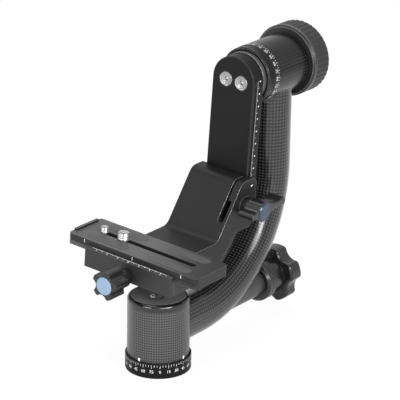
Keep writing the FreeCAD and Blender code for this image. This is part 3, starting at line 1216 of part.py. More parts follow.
camera_screw("quarter_screw", size.quarter_across, "quarter_radius", "quarter_tall",
             "quarter_hex_radius", "quarter_hex_depth")
camera_screw("large_screw", size.large_across, "large_radius", "large_tall",
             "large_hex_radius", "large_hex_depth")

# ---------------------------------------------------------------------------------------------
# Checks and files
# ---------------------------------------------------------------------------------------------

doc.recompute()
for entry in doc.Objects:
    if "Invalid" in entry.State or "Error" in entry.State:
        raise RuntimeError(f"{entry.Label}: {entry.State}")
os.makedirs("parts", exist_ok=True)
for label, piece in pieces.items():
    if piece.Shape.isNull() or not piece.Shape.isValid() or not piece.Shape.Solids:
        raise RuntimeError(label + ": bad shape")
for label, piece in pieces.items():
    piece.Shape.exportStep(f"parts/{label}.step")
print(len(pieces), "nodes")
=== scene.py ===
import math

import bmesh
import bpy
from mathutils import Matrix, Vector


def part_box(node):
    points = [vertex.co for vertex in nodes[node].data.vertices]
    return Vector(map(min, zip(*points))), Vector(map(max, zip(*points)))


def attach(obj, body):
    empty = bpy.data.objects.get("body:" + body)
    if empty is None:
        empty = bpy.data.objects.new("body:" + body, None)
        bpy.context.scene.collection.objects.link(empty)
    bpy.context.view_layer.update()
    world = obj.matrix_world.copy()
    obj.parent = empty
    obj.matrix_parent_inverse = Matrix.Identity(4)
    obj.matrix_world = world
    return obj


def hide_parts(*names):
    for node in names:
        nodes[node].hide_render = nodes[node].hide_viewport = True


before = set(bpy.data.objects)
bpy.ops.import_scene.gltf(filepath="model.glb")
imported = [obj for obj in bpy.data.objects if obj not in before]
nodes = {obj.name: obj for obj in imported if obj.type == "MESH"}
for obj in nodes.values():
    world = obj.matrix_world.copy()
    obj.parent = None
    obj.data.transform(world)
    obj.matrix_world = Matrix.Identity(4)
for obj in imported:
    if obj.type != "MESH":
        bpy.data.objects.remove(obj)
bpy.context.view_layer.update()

MM = 0.001

# ---------------------------------------------------------------------------------------------
# Camera: a long lens that looks down on the head's front right corner, with the bubble level
# in front and the tilt knob behind. It stands 1.7 m away, so the head is hardly foreshortened.
# ---------------------------------------------------------------------------------------------

AZIMUTH = math.radians(36.562)
ELEVATION = math.radians(20.386)
ROLL = math.radians(0.798)
FOCAL_PIXELS = 2274.9
FRAME_PIXELS = 400
SENSOR = 36.0
DISTANCE = 1704.02 * MM
FAR_CLIP = 20.0
AIM_RIGHT = 31.396 * MM
AIM_UP = 123.949 * MM

backward = Vector((math.sin(AZIMUTH) * math.cos(ELEVATION), -math.cos(AZIMUTH) * math.cos(ELEVATION),
                   math.sin(ELEVATION)))
level_right = Vector((math.cos(AZIMUTH), math.sin(AZIMUTH), 0))
level_up = backward.cross(level_right)
picture_right = level_right * math.cos(ROLL) + level_up * math.sin(ROLL)
picture_up = level_up * math.cos(ROLL) - level_right * math.sin(ROLL)

camera = bpy.data.objects.new("camera", bpy.data.cameras.new("camera"))
bpy.context.scene.collection.objects.link(camera)
camera.data.sensor_width = SENSOR
camera.data.lens = FOCAL_PIXELS / FRAME_PIXELS * SENSOR
camera.data.clip_end = FAR_CLIP
turn = Matrix((picture_right, picture_up, backward)).transposed().to_4x4()
camera.matrix_world = Matrix.Translation(
    backward * DISTANCE + picture_right * AIM_RIGHT + picture_up * AIM_UP) @ turn
bpy.context.scene.camera = camera
bpy.context.scene.view_settings.view_transform = "Standard"

# ---------------------------------------------------------------------------------------------
# Finishes. Shader nodes are written as sums: a Wire is a value or colour that a node gives, and a
# Finish adds nodes to a material. Coated metal and turned steel are used all over the head.
# ---------------------------------------------------------------------------------------------


class Wire:
    """An output of a shader node. Python's operators on it add Math nodes."""

    def __init__(self, finish, socket):
        self.finish = finish
        self.socket = socket

    def maths(self, operation, *values):
        inputs = dict(enumerate(values))
        return self.finish.add("ShaderNodeMath", {"operation": operation}, inputs)

    def __add__(self, other):
        return self.maths("ADD", self, other)

    def __radd__(self, other):
        return self.maths("ADD", other, self)

    def __sub__(self, other):
        return self.maths("SUBTRACT", self, other)

    def __rsub__(self, other):
        return self.maths("SUBTRACT", other, self)

    def __mul__(self, other):
        return self.maths("MULTIPLY", self, other)

    def __rmul__(self, other):
        return self.maths("MULTIPLY", other, self)

    def __truediv__(self, other):
        return self.maths("DIVIDE", self, other)

    def __abs__(self):
        return self.maths("ABSOLUTE", self)

    def __lt__(self, other):
        return self.maths("LESS_THAN", self, other)

    def __gt__(self, other):
        return self.maths("GREATER_THAN", self, other)

    def least(self, other):
        return self.maths("MINIMUM", self, other)

    def most(self, other):
        return self.maths("MAXIMUM", self, other)

    def sine(self):
        return self.maths("SINE", self)

    def root(self):
        return self.maths("SQRT", self)

    def angle(self, other):
        return self.maths("ARCTAN2", self, other)

    def clamped(self):
        return self.least(1.0).most(0.0)


class Finish:
    """The nodes of one material or of the sky."""

    def __init__(self, tree):
        self.tree = tree
        self.tree.nodes.clear()

    def add(self, kind, settings=None, inputs=None, output=0):
        node = self.tree.nodes.new(kind)
        for name, value in (settings or {}).items():
            setattr(node, name, value)
        for key, value in (inputs or {}).items():
            if isinstance(value, Wire):
                self.tree.links.new(value.socket, node.inputs[key])
            else:
                node.inputs[key].default_value = value
        return Wire(self, node.outputs[output]) if node.outputs else None

    def tint(self, mask, colour, other):
        """Colour where the mask is 0, the other colour where it is 1."""
        return self.add("ShaderNodeMix", {"data_type": "RGBA"}, {0: mask, 6: colour, 7: other}, 2)

    def place(self):
        """A place in the object's own coordinates, which at rest are the frame's."""
        return self.add("ShaderNodeTexCoord", output="Object")

    def noise(self, place, scale, detail, roughness=0.5):
        return self.add("ShaderNodeTexNoise", None,
                        {"Vector": place, "Scale": scale, "Detail": detail, "Roughness": roughness}, "Fac")

    def parts(self, vector):
        """The three coordinates of a vector."""
        return [self.add("ShaderNodeSeparateXYZ", None, {0: vector}, axis) for axis in range(3)]


def grey(level):
    return (level, level, level, 1.0)


def new_finish(name):
    """A new material and its nodes."""
    material = bpy.data.materials.new(name)
    material.use_nodes = True
    return material, Finish(material.node_tree)


# Grey of the painted shade in recesses.
RECESS_SHADE_GREY = 0.02


def close(finish, colour, roughness, height, depth, soft_edge=0.0, normal=None, recess_shade=None, **values):
    """The shader of a finish. The height is a bump's pattern and the depth its size in metres. The
    recess is a mask of painted shade: places where the coat is a dark matt grey that takes no light."""
    if soft_edge and normal is None:
        normal = finish.add("ShaderNodeBevel", {"samples": 4}, {"Radius": soft_edge})
    bump_inputs = {"Height": height, "Strength": 1.0, "Distance": depth}
    if normal is not None:
        bump_inputs["Normal"] = normal
    inputs = {"Base Color": colour, "Roughness": roughness,
              "Normal": finish.add("ShaderNodeBump", None, bump_inputs)}
    inputs.update({name.replace("_", " "): value for name, value in values.items()})
    shader = finish.add("ShaderNodeBsdfPrincipled", None, inputs)
    if recess_shade is not None:
        # Painted shade: the masked places get a dark matt grey instead of the coat.
        painted_recess_shade = finish.add("ShaderNodeBsdfDiffuse", None, {"Color": grey(RECESS_SHADE_GREY)})
        shader = finish.add("ShaderNodeMixShader", None, {0: recess_shade, 1: shader, 2: painted_recess_shade})
    finish.add("ShaderNodeOutputMaterial", None, {"Surface": shader})


WEAR_GAIN = 6.0


def worn_edge(finish, reach):
    """A mask of the edges that handling has polished, and the rounded normal that goes with it."""
    rounded = finish.add("ShaderNodeBevel", {"samples": 6}, {"Radius": reach})
    flat = finish.add("ShaderNodeNewGeometry", output="Normal")
    facing = finish.add("ShaderNodeVectorMath", {"operation": "DOT_PRODUCT"}, {0: rounded, 1: flat}, "Value")
    return ((1 - facing) * WEAR_GAIN).clamped(), rounded


CLOUD_SCALE = 38.0
BLAST_SCALE = 2600.0
FINE_SCALE = 3000.0
RUB_SCALE = 220.0


def satin_metal(name, colour, pale, worn, roughness, grain=BLAST_SCALE, ior=1.3, edge=0.45 * MM,
                shine=0.6, right_edge_highlight=False, recess_shade=None):
    """Coated metal: blasted grain, cloudy sheen and edges polished by handling. If asked, the polished
    edges are kept on the right side alone as painted highlights, where the lamps catch them. recess
    makes a mask of places painted dark matt as shade from the finish and its place."""
    material, finish = new_finish(name)
    place = finish.place()
    clouds = finish.noise(place, CLOUD_SCALE, 3.0)
    speck = finish.noise(place, grain, 1.0)
    wear, rounded = worn_edge(finish, edge)
    rub_and_highlight = wear * (finish.noise(place, RUB_SCALE, 3.0) * 0.8 + 0.4).clamped()
    # Painted highlight: with the flag set, the pale polished edges stay only where the edge faces right,
    # towards the lamps.
    if right_edge_highlight:
        rub_and_highlight = rub_and_highlight * (finish.parts(rounded)[0] > 0.25)
    base = finish.tint(clouds, colour, pale)
    close(finish, finish.tint(rub_and_highlight, base, worn), roughness + clouds * 0.12 - rub_and_highlight * 0.15, speck, 0.012 * MM,
          normal=rounded, recess_shade=recess_shade and recess_shade(finish, place), Metallic=rub_and_highlight * shine, IOR=ior)
    return material


LATHE_RING = 0.16 * MM


def turned_steel(name, colour, roughness):
    """Bare lathe-turned steel with fine rings about the head's upright axis."""
    material, finish = new_finish(name)
    place = finish.place()
    across, along = finish.parts(place)[:2]
    radius = (across * across + along * along).root()
    rings = (radius * (2 * math.pi / LATHE_RING)).sine()
    haze = finish.noise(place, 400.0, 3.0)
    close(finish, finish.tint(haze, grey(colour), grey(colour * 0.8)), roughness + haze * 0.12, rings,
          0.006 * MM, Metallic=1.0)
    return material


def dress(material, *names):
    """Gives CAD nodes a finish."""
    for name in names:
        mesh = nodes[name].data
        mesh.materials.clear()
        mesh.materials.append(material)


# ---------------------------------------------------------------------------------------------
# Floor, sky and lamps: a pale floor, a white surround and five soft boxes. The surround is
# seen white by the camera and in reflections, and lights the head at about half that level. The
# key and the right box draw the streak on the arm, the front box the one on the cap's ring.
# ---------------------------------------------------------------------------------------------

WHITE = grey(1.0)
FLOOR_SIZE = 6.0
FLOOR_GREY = 0.9
FLOOR_WHITE = 0.93
floor_mesh = bmesh.new()
bmesh.ops.create_grid(floor_mesh, x_segments=1, y_segments=1, size=FLOOR_SIZE)
floor = bpy.data.objects.new("floor", bpy.data.meshes.new("floor"))
floor_mesh.to_mesh(floor.data)
floor_mesh.free()
bpy.context.scene.collection.objects.link(floor)
floor_paint, paint = new_finish("pale_floor")
matt = paint.add("ShaderNodeBsdfDiffuse", None, {"Color": grey(FLOOR_GREY)})
lit = paint.add("ShaderNodeEmission", None, {"Color": WHITE, "Strength": 1.0})
seen = paint.add("ShaderNodeLightPath", output="Is Camera Ray")
paint.add("ShaderNodeOutputMaterial", None, {
    "Surface": paint.add("ShaderNodeMixShader", None, {0: seen * FLOOR_WHITE, 1: matt, 2: lit})})
floor.data.materials.append(floor_paint)

AMBIENT = 0.55
sky = bpy.data.worlds.new("surround")
bpy.context.scene.world = sky
sky.use_nodes = True
air = Finish(sky.node_tree)
bright = air.add("ShaderNodeLightPath", output="Is Camera Ray").most(
    air.add("ShaderNodeLightPath", output="Is Glossy Ray")).most(
    air.add("ShaderNodeLightPath", output="Is Transmission Ray"))
air.add("ShaderNodeOutputWorld", None, {"Surface": air.add(
    "ShaderNodeBackground", None, {"Color": WHITE, "Strength": bright * (1 - AMBIENT) + AMBIENT})})

HEART = Vector((0.0, 0.06, 0.12))


def soft_box(name, spot, width, height, watts):
    """A rectangular lamp that faces the middle of the head."""
    lamp = bpy.data.lights.new(name, "AREA")
    lamp.shape = "RECTANGLE"
    lamp.size = width
    lamp.size_y = height
    lamp.energy = watts
    holder = bpy.data.objects.new(name, lamp)
    bpy.context.scene.collection.objects.link(holder)
    direction = HEART - Vector(spot)
    holder.matrix_world = Matrix.Translation(spot) @ direction.to_track_quat("-Z", "Y").to_matrix().to_4x4()


soft_box("top_box", (-0.2, 0.3, 1.5), width=1.0, height=0.8, watts=12)
soft_box("left_box", (-1.1, -0.9, 0.9), width=0.5, height=1.0, watts=6)
soft_box("front_box", (-0.06, -1.35, 0.56), width=0.6, height=0.28, watts=9)
soft_box("key_box", (1.23, -0.63, 0.58), width=0.9, height=0.35, watts=15)
soft_box("right_box", (1.24, -0.24, 0.72), width=0.5, height=0.5, watts=9)

# ---------------------------------------------------------------------------------------------
# Base plate, thread insert, foot screws, pan spindle and its nut. The aluminium base is turned
# and painted. The insert, spindle and nut are bare turned steel with the lathe's fine rings, and
# the foot screws are blackened.
# ---------------------------------------------------------------------------------------------

painted_base = satin_metal("fine_black_paint", grey(0.020), grey(0.030), grey(0.07), 0.42)
dress(painted_base, "base_plate")
bare_steel = turned_steel("turned_steel", 0.62, 0.22)
dress(bare_steel, "tripod_insert", "pan_spindle", "spindle_nut")
dark_steel = satin_metal("blackened_steel", grey(0.03), grey(0.05), grey(0.2), 0.35, grain=3200.0, ior=1.6)
dress(dark_steel, "foot_screws")

# ---------------------------------------------------------------------------------------------
# Engravings: strokes and numbers laid out on a flat sheet, bent onto a surface, sunk a little and
# filled with paint.
# ---------------------------------------------------------------------------------------------

STROKE_SINK = 0.06 * MM
STROKE_LIFT = 0.02 * MM
NUMERAL_SIZE = 1.38
NUMERAL_WEIGHT = 0.012


def numeral(words, height):
    """A flat mesh of a number, centred, with its thickness along Z."""
    curve = bpy.data.curves.new("numeral", "FONT")
    curve.body = words
    curve.size = height * NUMERAL_SIZE
    curve.align_x = "CENTER"
    curve.align_y = "CENTER"
    curve.resolution_u = 2
    curve.extrude = (STROKE_SINK + STROKE_LIFT) / 2
    curve.offset = height * NUMERAL_WEIGHT
    holder = bpy.data.objects.new("numeral", curve)
    bpy.context.scene.collection.objects.link(holder)
    bpy.context.view_layer.update()
    mesh = bpy.data.meshes.new_from_object(holder.evaluated_get(bpy.context.evaluated_depsgraph_get()))
    bpy.data.objects.remove(holder)
    bpy.data.curves.remove(curve)
    return mesh


def piece(name, mesh, body, material, smooth=True, replaced=()):
    """Turns a bmesh into an object that rides on a body."""
    made = bpy.data.objects.new(name, bpy.data.meshes.new(name))
    mesh.to_mesh(made.data)
    mesh.free()
    bpy.context.scene.collection.objects.link(made)
    if smooth:
        made.data.shade_smooth()
        made.data.set_sharp_from_angle(angle=math.radians(35))
    made.data.materials.append(material)
    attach(made, body)
    if replaced:
        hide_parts(*replaced)


def inlay(name, body, strokes, numbers, seat, material):
    """Filled engraving: strokes (across, up, width, height, lean) and numbers (across, up, height,
    words) on a flat sheet that seat lays on the surface, from (across, up, lift) to a place."""
    sheet = bmesh.new()
    middle = (STROKE_LIFT - STROKE_SINK) / 2
    for across, up, width, height, lean in strokes:
        bmesh.ops.create_cube(sheet, size=1.0, matrix=Matrix.Translation((across, up, middle))
                              @ Matrix.Rotation(lean, 4, "Z")
                              @ Matrix.Diagonal((width, height, STROKE_SINK + STROKE_LIFT, 1)))
    for across, up, height, words in numbers:
        mesh = numeral(words, height)
        mesh.transform(Matrix.Translation((across, up, middle)))
        sheet.from_mesh(mesh)
        bpy.data.meshes.remove(mesh)
    for vert in sheet.verts:
        vert.co = seat(*vert.co)
    bmesh.ops.remove_doubles(sheet, verts=sheet.verts, dist=1e-7)
    bmesh.ops.recalc_face_normals(sheet, faces=sheet.faces)
    piece(name, sheet, body, material, smooth=False)


def paint_fill(name, colour):
    """Filler paint of an engraving: matt, a little uneven and grey where it has worn."""
    material, finish = new_finish(name)
    place = finish.place()
    patches = finish.noise(place, 900.0, 2.0)
    close(finish, finish.tint(patches, colour, grey(0.45)), 0.6 + patches * 0.2, patches, 0.01 * MM)
    return material


def on_cylinder(radius, zero):
    """A seat on a cylinder about the pan axis, where across runs round it from an angle."""
    def seat(across, up, lift):
        angle = zero + across / radius
        return Vector(((radius + lift) * math.cos(angle), (radius + lift) * math.sin(angle), up))

    return seat


# ---------------------------------------------------------------------------------------------
# Degree ring: turned aluminium, anodised black, with a pale scale engraved and filled. A line
# every 5 degrees, a longer one every 15 with its number, and the numbers start again at 90.
# ---------------------------------------------------------------------------------------------

RING_RADIUS = 24.8 * MM
RING_ZERO = math.radians(-48.9)
RING_LINE_TOP = 11.0 * MM
RING_LONG = 2.5 * MM
RING_SHORT = 1.5 * MM
RING_LINE_WIDTH = 0.3 * MM
RING_NUMBER_UP = 5.6 * MM
RING_NUMBER_HEIGHT = 2.4 * MM
LINE_STEP = 5
NUMBER_STEP = 15
RING_NUMBER_TURN = 90
ring_lines = []
ring_numbers = []
for degrees in range(0, 360, LINE_STEP):
    across = RING_RADIUS * math.radians(degrees)
    long_line = degrees % NUMBER_STEP == 0
    length = RING_LONG if long_line else RING_SHORT
    ring_lines.append((across, RING_LINE_TOP - length / 2, RING_LINE_WIDTH, length, 0))
    if long_line:
        ring_numbers.append((across, RING_NUMBER_UP, RING_NUMBER_HEIGHT, str(degrees % RING_NUMBER_TURN)))
white_fill = paint_fill("white_filler", (0.85, 0.85, 0.84, 1))
inlay("ring_scale", "base", ring_lines, ring_numbers, on_cylinder(RING_RADIUS, RING_ZERO),
      paint_fill("ring_filler", grey(0.62)))
ring_coat = satin_metal("ring_anodising", grey(0.003), grey(0.006), grey(0.06), 0.32, ior=1.2)
dress(ring_coat, "degree_ring")

# ---------------------------------------------------------------------------------------------
# Pan housing: a sleeve of woven carbon fibre under clear lacquer on an aluminium core, which
# turns on two bronze bushes. Three small white marks on the sleeve point at the degree ring.
# ---------------------------------------------------------------------------------------------


def carbon(name, sheet_place, tows, dark, light, rough=0.3, lacquer=0.4, weave_depth=0.03 * MM):
    """Plain-woven carbon: tows that cross over and under, under a clear lacquer. sheet_place gives the
    distances around and along the piece, how much of the weave shows, which on the sleeve is painted
    shade, and how thick the lacquer is; tows are the pitches."""
    material, finish = new_finish(name)
    place = finish.place()
    around, along, shown, glazed = sheet_place(finish, place)
    tows_around = (around * (2 * math.pi / tows[0])).sine()
    tows_along = (along * (2 * math.pi / tows[1])).sine()
    cell = (tows_around * 0.5 + 0.5) * (tows_along * 0.5 + 0.5)
    fibre = finish.noise(place, 2400.0, 2.0)
    dot = (cell * 1.7 - 0.15).clamped() * (fibre * 0.5 + 0.75) * shown
    resin = finish.noise(place, 60.0, 3.0)
    colour = finish.tint(dot.clamped(), grey(dark), grey(light))
    close(finish, colour, rough + resin * 0.1, cell, weave_depth, Metallic=0.15, IOR=1.25,
          Coat_Weight=glazed * lacquer, Coat_Roughness=0.12, Coat_IOR=1.4)
    return material


TUBE_RADIUS = 23.4 * MM


def around_tube(finish, place):
    """The sleeve's weave, painted fainter round part of the tube as painted shade, so that it shows most at
    the front right and the back left.
    """
    across, along, up = finish.parts(place)
    angle = along.angle(across)
    # Painted shade: the light tows fade down to 60 % twice round the tube, as light and shade on the sleeve.
    return angle * TUBE_RADIUS, up, (angle * 2.0 + 0.3).sine() * -0.2 + 0.8, 1.0


tube_carbon = carbon("sleeve_carbon", around_tube, tows=(1.85 * MM, 2.0 * MM), dark=0.026, light=0.092)
dress(tube_carbon, "pan_tube")

MARK_ANGLES = (-89.6, 1.0, 180.7)
MARK_UP = 13.5 * MM
MARK_WIDTH = 2.0 * MM
MARK_HEIGHT = 1.7 * MM
POINT_UP = 12.5 * MM
POINT_SIDE = 1.4 * MM
mark_strokes = []
for degrees in MARK_ANGLES:
    across = TUBE_RADIUS * math.radians(degrees)
    mark_strokes.append((across, MARK_UP, MARK_WIDTH, MARK_HEIGHT, 0))
    mark_strokes.append((across, POINT_UP, POINT_SIDE, POINT_SIDE, math.radians(45)))
inlay("sleeve_marks", "housing", mark_strokes, (), on_cylinder(TUBE_RADIUS, 0.0), white_fill)

core_coat = satin_metal("core_anodising", grey(0.02), grey(0.03), grey(0.08), 0.4)
dress(core_coat, "pan_core", "arm_plug")


def bronze_finish(name, colour, pale):
    """Bronze or brass: porous, oily and slightly mottled."""
    material, finish = new_finish(name)
    place = finish.place()
    pores = finish.noise(place, 1800.0, 2.0)
    close(finish, finish.tint(finish.noise(place, 90.0, 3.0), colour, pale), 0.35 + pores * 0.15, pores,
          0.02 * MM, Metallic=1.0)
    return material


bush_bronze = bronze_finish("bush_bronze", (0.5, 0.33, 0.15, 1), (0.62, 0.43, 0.2, 1))
dress(bush_bronze, "lower_pan_bush", "upper_pan_bush", "front_tilt_bush", "rear_tilt_bush")

# ---------------------------------------------------------------------------------------------
# Cap: a turned and polished anodised ring with a painted disc let into it, and a round bubble
# level: a black cup, a domed vial of dark liquid and a black circle. The bubble is drawn only as a
# painted highlight: a bright crescent turned to one side.
# ---------------------------------------------------------------------------------------------

cap_coat = satin_metal("polished_cap_anodising", grey(0.003), grey(0.005), grey(0.04), 0.06,
                       grain=FINE_SCALE, ior=1.5)
dress(cap_coat, "cap_ring")
disc_paint = satin_metal("cap_disc_paint", grey(0.085), grey(0.1), grey(0.1), 0.5, grain=FINE_SCALE,
                         ior=1.35)
dress(disc_paint, "cap_disc")
cup_coat = satin_metal("level_cup_anodising", grey(0.015), grey(0.02), grey(0.1), 0.3, grain=FINE_SCALE,
                       ior=1.4, edge=0.2 * MM)
dress(cup_coat, "level_cup")


def vial_finish():
    """Clear acrylic over a dark liquid, slightly cloudy."""
    material, finish = new_finish("vial_acrylic")
    place = finish.place()
    cloud = finish.noise(place, 260.0, 2.0)
    close(finish, finish.tint(cloud, (0.09, 0.095, 0.09, 1), (0.14, 0.145, 0.14, 1)), 0.1 + cloud * 0.06,
          cloud, 0.01 * MM, IOR=1.3)
    return material


dress(vial_finish(), "level_vial")


def wound_wire(radius, wire, sides, span, steps, start=0.0, rise=0.0):
    """A round wire wound about the Z axis from an angle, which climbs as it goes and has flat ends unless
    it meets itself."""
    wound = bmesh.new()
    bmesh.ops.create_circle(wound, segments=sides, radius=wire,
                            matrix=Matrix.Rotation(start, 4, "Z") @ Matrix.Translation((radius, 0, 0))
                            @ Matrix.Rotation(math.pi / 2, 4, "X"))
    bmesh.ops.spin(wound, geom=wound.verts[:] + wound.edges[:], cent=(0, 0, 0), axis=(0, 0, 1),
                   dvec=(0, 0, rise / steps), angle=span, steps=steps)
    bmesh.ops.remove_doubles(wound, verts=wound.verts, dist=1e-6)
    bmesh.ops.holes_fill(wound, edges=[edge for edge in wound.edges if edge.is_boundary], sides=sides)
    bmesh.ops.recalc_face_normals(wound, faces=wound.faces)
    return wound


def bubble_finish():
    """Painted highlight of the bubble under the vial: bright, smooth and slightly mottled."""
    material, finish = new_finish("bubble_painted_highlight")
    shade = finish.noise(finish.place(), 300.0, 1.0)
    close(finish, finish.tint(shade, grey(0.75), grey(0.9)), 0.05 + shade * 0.05, shade, 0.002 * MM, IOR=1.45)
    return material


vial_low, vial_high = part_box("level_vial")
vial_top = Vector(((vial_low.x + vial_high.x) / 2, (vial_low.y + vial_high.y) / 2, vial_high.z))
CIRCLE_RADIUS = 2.3 * MM
CIRCLE_WIRE = 0.16 * MM
CIRCLE_SINK = Vector((0, 0, -0.24 * MM))
circle = wound_wire(CIRCLE_RADIUS, CIRCLE_WIRE, sides=8, span=2 * math.pi, steps=40)
bmesh.ops.translate(circle, verts=circle.verts, vec=vial_top + CIRCLE_SINK)
black_ink = satin_metal("black_ink", grey(0.01), grey(0.014), grey(0.03), 0.4, grain=FINE_SCALE,
                        edge=0.05 * MM)
piece("level_circle", circle, "housing", black_ink)

# Painted highlight: an open bright ring on the bubble's rim, turned to one side, stands for the light on the
# bubble.
BUBBLE_RADIUS = 2.3 * MM
BUBBLE_RIM = 0.55 * MM
BUBBLE_HIGHLIGHT_FACING = math.radians(216.6)
BUBBLE_SPAN = math.radians(230)
BUBBLE_SHIFT = Vector((-1.5, -1.1, -0.35)) * MM
bubble = wound_wire(BUBBLE_RADIUS, BUBBLE_RIM, sides=10, span=BUBBLE_SPAN, steps=28,
                    start=BUBBLE_HIGHLIGHT_FACING - BUBBLE_SPAN / 2)
bmesh.ops.translate(bubble, verts=bubble.verts, vec=vial_top + BUBBLE_SHIFT)
piece("level_bubble_highlight", bubble, "housing", bubble_finish())

# ---------------------------------------------------------------------------------------------
# Arm: one moulded carbon tube that leaves the housing, bends upwards and ends in the barrel of
# the tilt axis. The weave follows the tube's run and wraps round the barrel, whose top is worn
# smooth. The boss of the pan lock has a finer weave of its own.
# ---------------------------------------------------------------------------------------------

ROOT_HEIGHT = 30.2 * MM
ARM_RADIUS = 17.0 * MM
ARM_BEND = 95.0 * MM
ARM_RISE = 137.7 * MM
BEND_START = ARM_RISE - ARM_BEND
BEND_TOP = ROOT_HEIGHT + ARM_BEND
TILT_HEIGHT = 201.3 * MM
BARREL_RADIUS = 22.5 * MM
BARREL_SKIN = 0.4 * MM
BARREL_MATT = 0.85


def along_arm(finish, place):
    """The arm's weave: its run is straight, then round the bend, then straight up to the barrel."""
    across, forward, up = finish.parts(place)
    out = (forward - BEND_START).most(0.0)
    down = (BEND_TOP - up).most(0.0)
    run = forward.least(BEND_START) + out.angle(down) * ARM_BEND + (up - BEND_TOP).most(0.0)
    offset = (out * out + down * down).root() - ARM_BEND
    around = offset.angle(across) * ARM_RADIUS
    rise = up - TILT_HEIGHT
    reach = (across * across + rise * rise).root()
    barrel = (reach < BARREL_RADIUS + BARREL_SKIN) * (up > TILT_HEIGHT - BARREL_RADIUS)
    barrel_around = across.angle(rise) * BARREL_RADIUS
    shown = 1 - barrel * (rise / BARREL_RADIUS * 0.5 + 0.5).clamped()
    glazed = 1 - barrel * BARREL_MATT
    around = barrel * barrel_around + (1 - barrel) * around
    return around, barrel * forward + (1 - barrel) * run, shown, glazed


arm_carbon = carbon("arm_carbon", along_arm, tows=(2.6 * MM, 2.65 * MM), dark=0.006, light=0.046,
                    rough=0.2, lacquer=0.7, weave_depth=0.014 * MM)
dress(arm_carbon, "j_arm")

LOCK_HEIGHT = 28.0 * MM
BOSS_RADIUS = 10.9 * MM


def around_boss(finish, place):
    across, along, up = finish.parts(place)
    return (up - LOCK_HEIGHT).angle(across) * BOSS_RADIUS, along, 1.0, 1.0


boss_carbon = carbon("boss_carbon", around_boss, tows=(1.9 * MM, 2.0 * MM), dark=0.02, light=0.06)
dress(boss_carbon, "lock_boss")

# ---------------------------------------------------------------------------------------------
# Pan lock: a nylon shoe on a steel rod presses on the spindle. A turned collar ends the boss,
# and a star knob of glass-filled nylon with five rounded lobes turns the rod. The camera screws'
# washers are of the shoe's nylon, and the jaw's guide pins of the rod's steel.
# ---------------------------------------------------------------------------------------------


def moulded_plastic(name, colour, pale, roughness, ior=1.4):
    """Moulded plastic with a spark-eroded skin: fine pebbles, and shinier where fingers rub."""
    material, finish = new_finish(name)
    place = finish.place()
    skin = finish.noise(place, 1500.0, 1.0)
    handled = finish.noise(place, 70.0, 3.0)
    wear, rounded = worn_edge(finish, 0.5 * MM)
    close(finish, finish.tint(handled, colour, pale), roughness + handled * 0.14 - wear * 0.1, skin,
          0.02 * MM, normal=rounded, IOR=ior)
    return material


collar_coat = satin_metal("collar_anodising", grey(0.008), grey(0.012), grey(0.3), 0.2, ior=1.42, shine=0.8)
dress(collar_coat, "lock_collar")
dress(moulded_plastic("white_nylon", (0.72, 0.71, 0.66, 1), (0.6, 0.59, 0.55, 1), 0.45), "brake_shoe",
      "quarter_screw_washer", "large_screw_washer")
dress(turned_steel("rod_steel", 0.6, 0.25), "pan_lock_rod", "jaw_pins")
star_plastic = moulded_plastic("star_knob_nylon", grey(0.006), grey(0.010), 0.15, ior=1.42)
dress(star_plastic, "pan_knob")

# ---------------------------------------------------------------------------------------------
# Tilt barrel's scale: grey filled lines every 5 degrees near the barrel's front end, and in front
# of them a number every 15 degrees, from 0 to 90 and down again on each side.
# ---------------------------------------------------------------------------------------------

BARREL_FRONT = 112.3 * MM
BARREL_LINE_START = 4.6 * MM
BARREL_SHORT = 1.1 * MM
BARREL_LONG = 1.9 * MM
BARREL_LINE_WIDTH = 0.4 * MM
BARREL_SPAN = 150
BARREL_NUMBER_UP = 2.45 * MM
BARREL_NUMBER_HEIGHT = 2.5 * MM


def on_barrel(across, up, lift):
    angle = across / BARREL_RADIUS
    return Vector(((BARREL_RADIUS + lift) * math.sin(angle), BARREL_FRONT + up,
                   TILT_HEIGHT + (BARREL_RADIUS + lift) * math.cos(angle)))


barrel_lines = []
barrel_numbers = []
for degrees in range(-BARREL_SPAN, BARREL_SPAN + 1, LINE_STEP):
    across = BARREL_RADIUS * math.radians(degrees)
    long_line = degrees % NUMBER_STEP == 0
    length = BARREL_LONG if long_line else BARREL_SHORT
    barrel_lines.append((across, BARREL_LINE_START + length / 2, BARREL_LINE_WIDTH, length, 0))
    if long_line:
        barrel_numbers.append((across, BARREL_NUMBER_UP, BARREL_NUMBER_HEIGHT,
                               str(min(abs(degrees), 180 - abs(degrees)))))
grey_fill = paint_fill("grey_filler", grey(0.42))
inlay("barrel_scale", "housing", barrel_lines, barrel_numbers, on_barrel, grey_fill)

# ---------------------------------------------------------------------------------------------
# Tilt knob: a turned aluminium core with a bevelled lip, a ribbed rubber band round it, a brass
# thread insert and a flat cap. A steel pressure disc lies between the knob and the barrel.
# ---------------------------------------------------------------------------------------------

knob_coat = satin_metal("tilt_knob_anodising", grey(0.01), grey(0.015), grey(0.5), 0.26, ior=1.35,
                        edge=0.55 * MM, shine=0.85)
dress(knob_coat, "tilt_knob_core", "tilt_knob_cap")
dress(dark_steel, "pressure_disc")
dress(bronze_finish("thread_brass", (0.62, 0.45, 0.18, 1), (0.72, 0.55, 0.24, 1)), "tilt_knob_insert")


def moulded_rubber(name, colour, dusty, roughness):
    """Rubber: matt, fine-grained, a little dusty in patches."""
    material, finish = new_finish(name)
    place = finish.place()
    dust = finish.noise(place, 120.0, 4.0, 0.6)
    skin = finish.noise(place, 1600.0, 2.0)
    close(finish, finish.tint((dust * 1.6 - 0.4).clamped(), colour, dusty), roughness + dust * 0.12, skin,
          0.03 * MM, soft_edge=0.3 * MM, IOR=1.38)
    return material


grip_rubber = moulded_rubber("grip_rubber", grey(0.009), grey(0.017), 0.48)
dress(grip_rubber, "tilt_knob_grip")

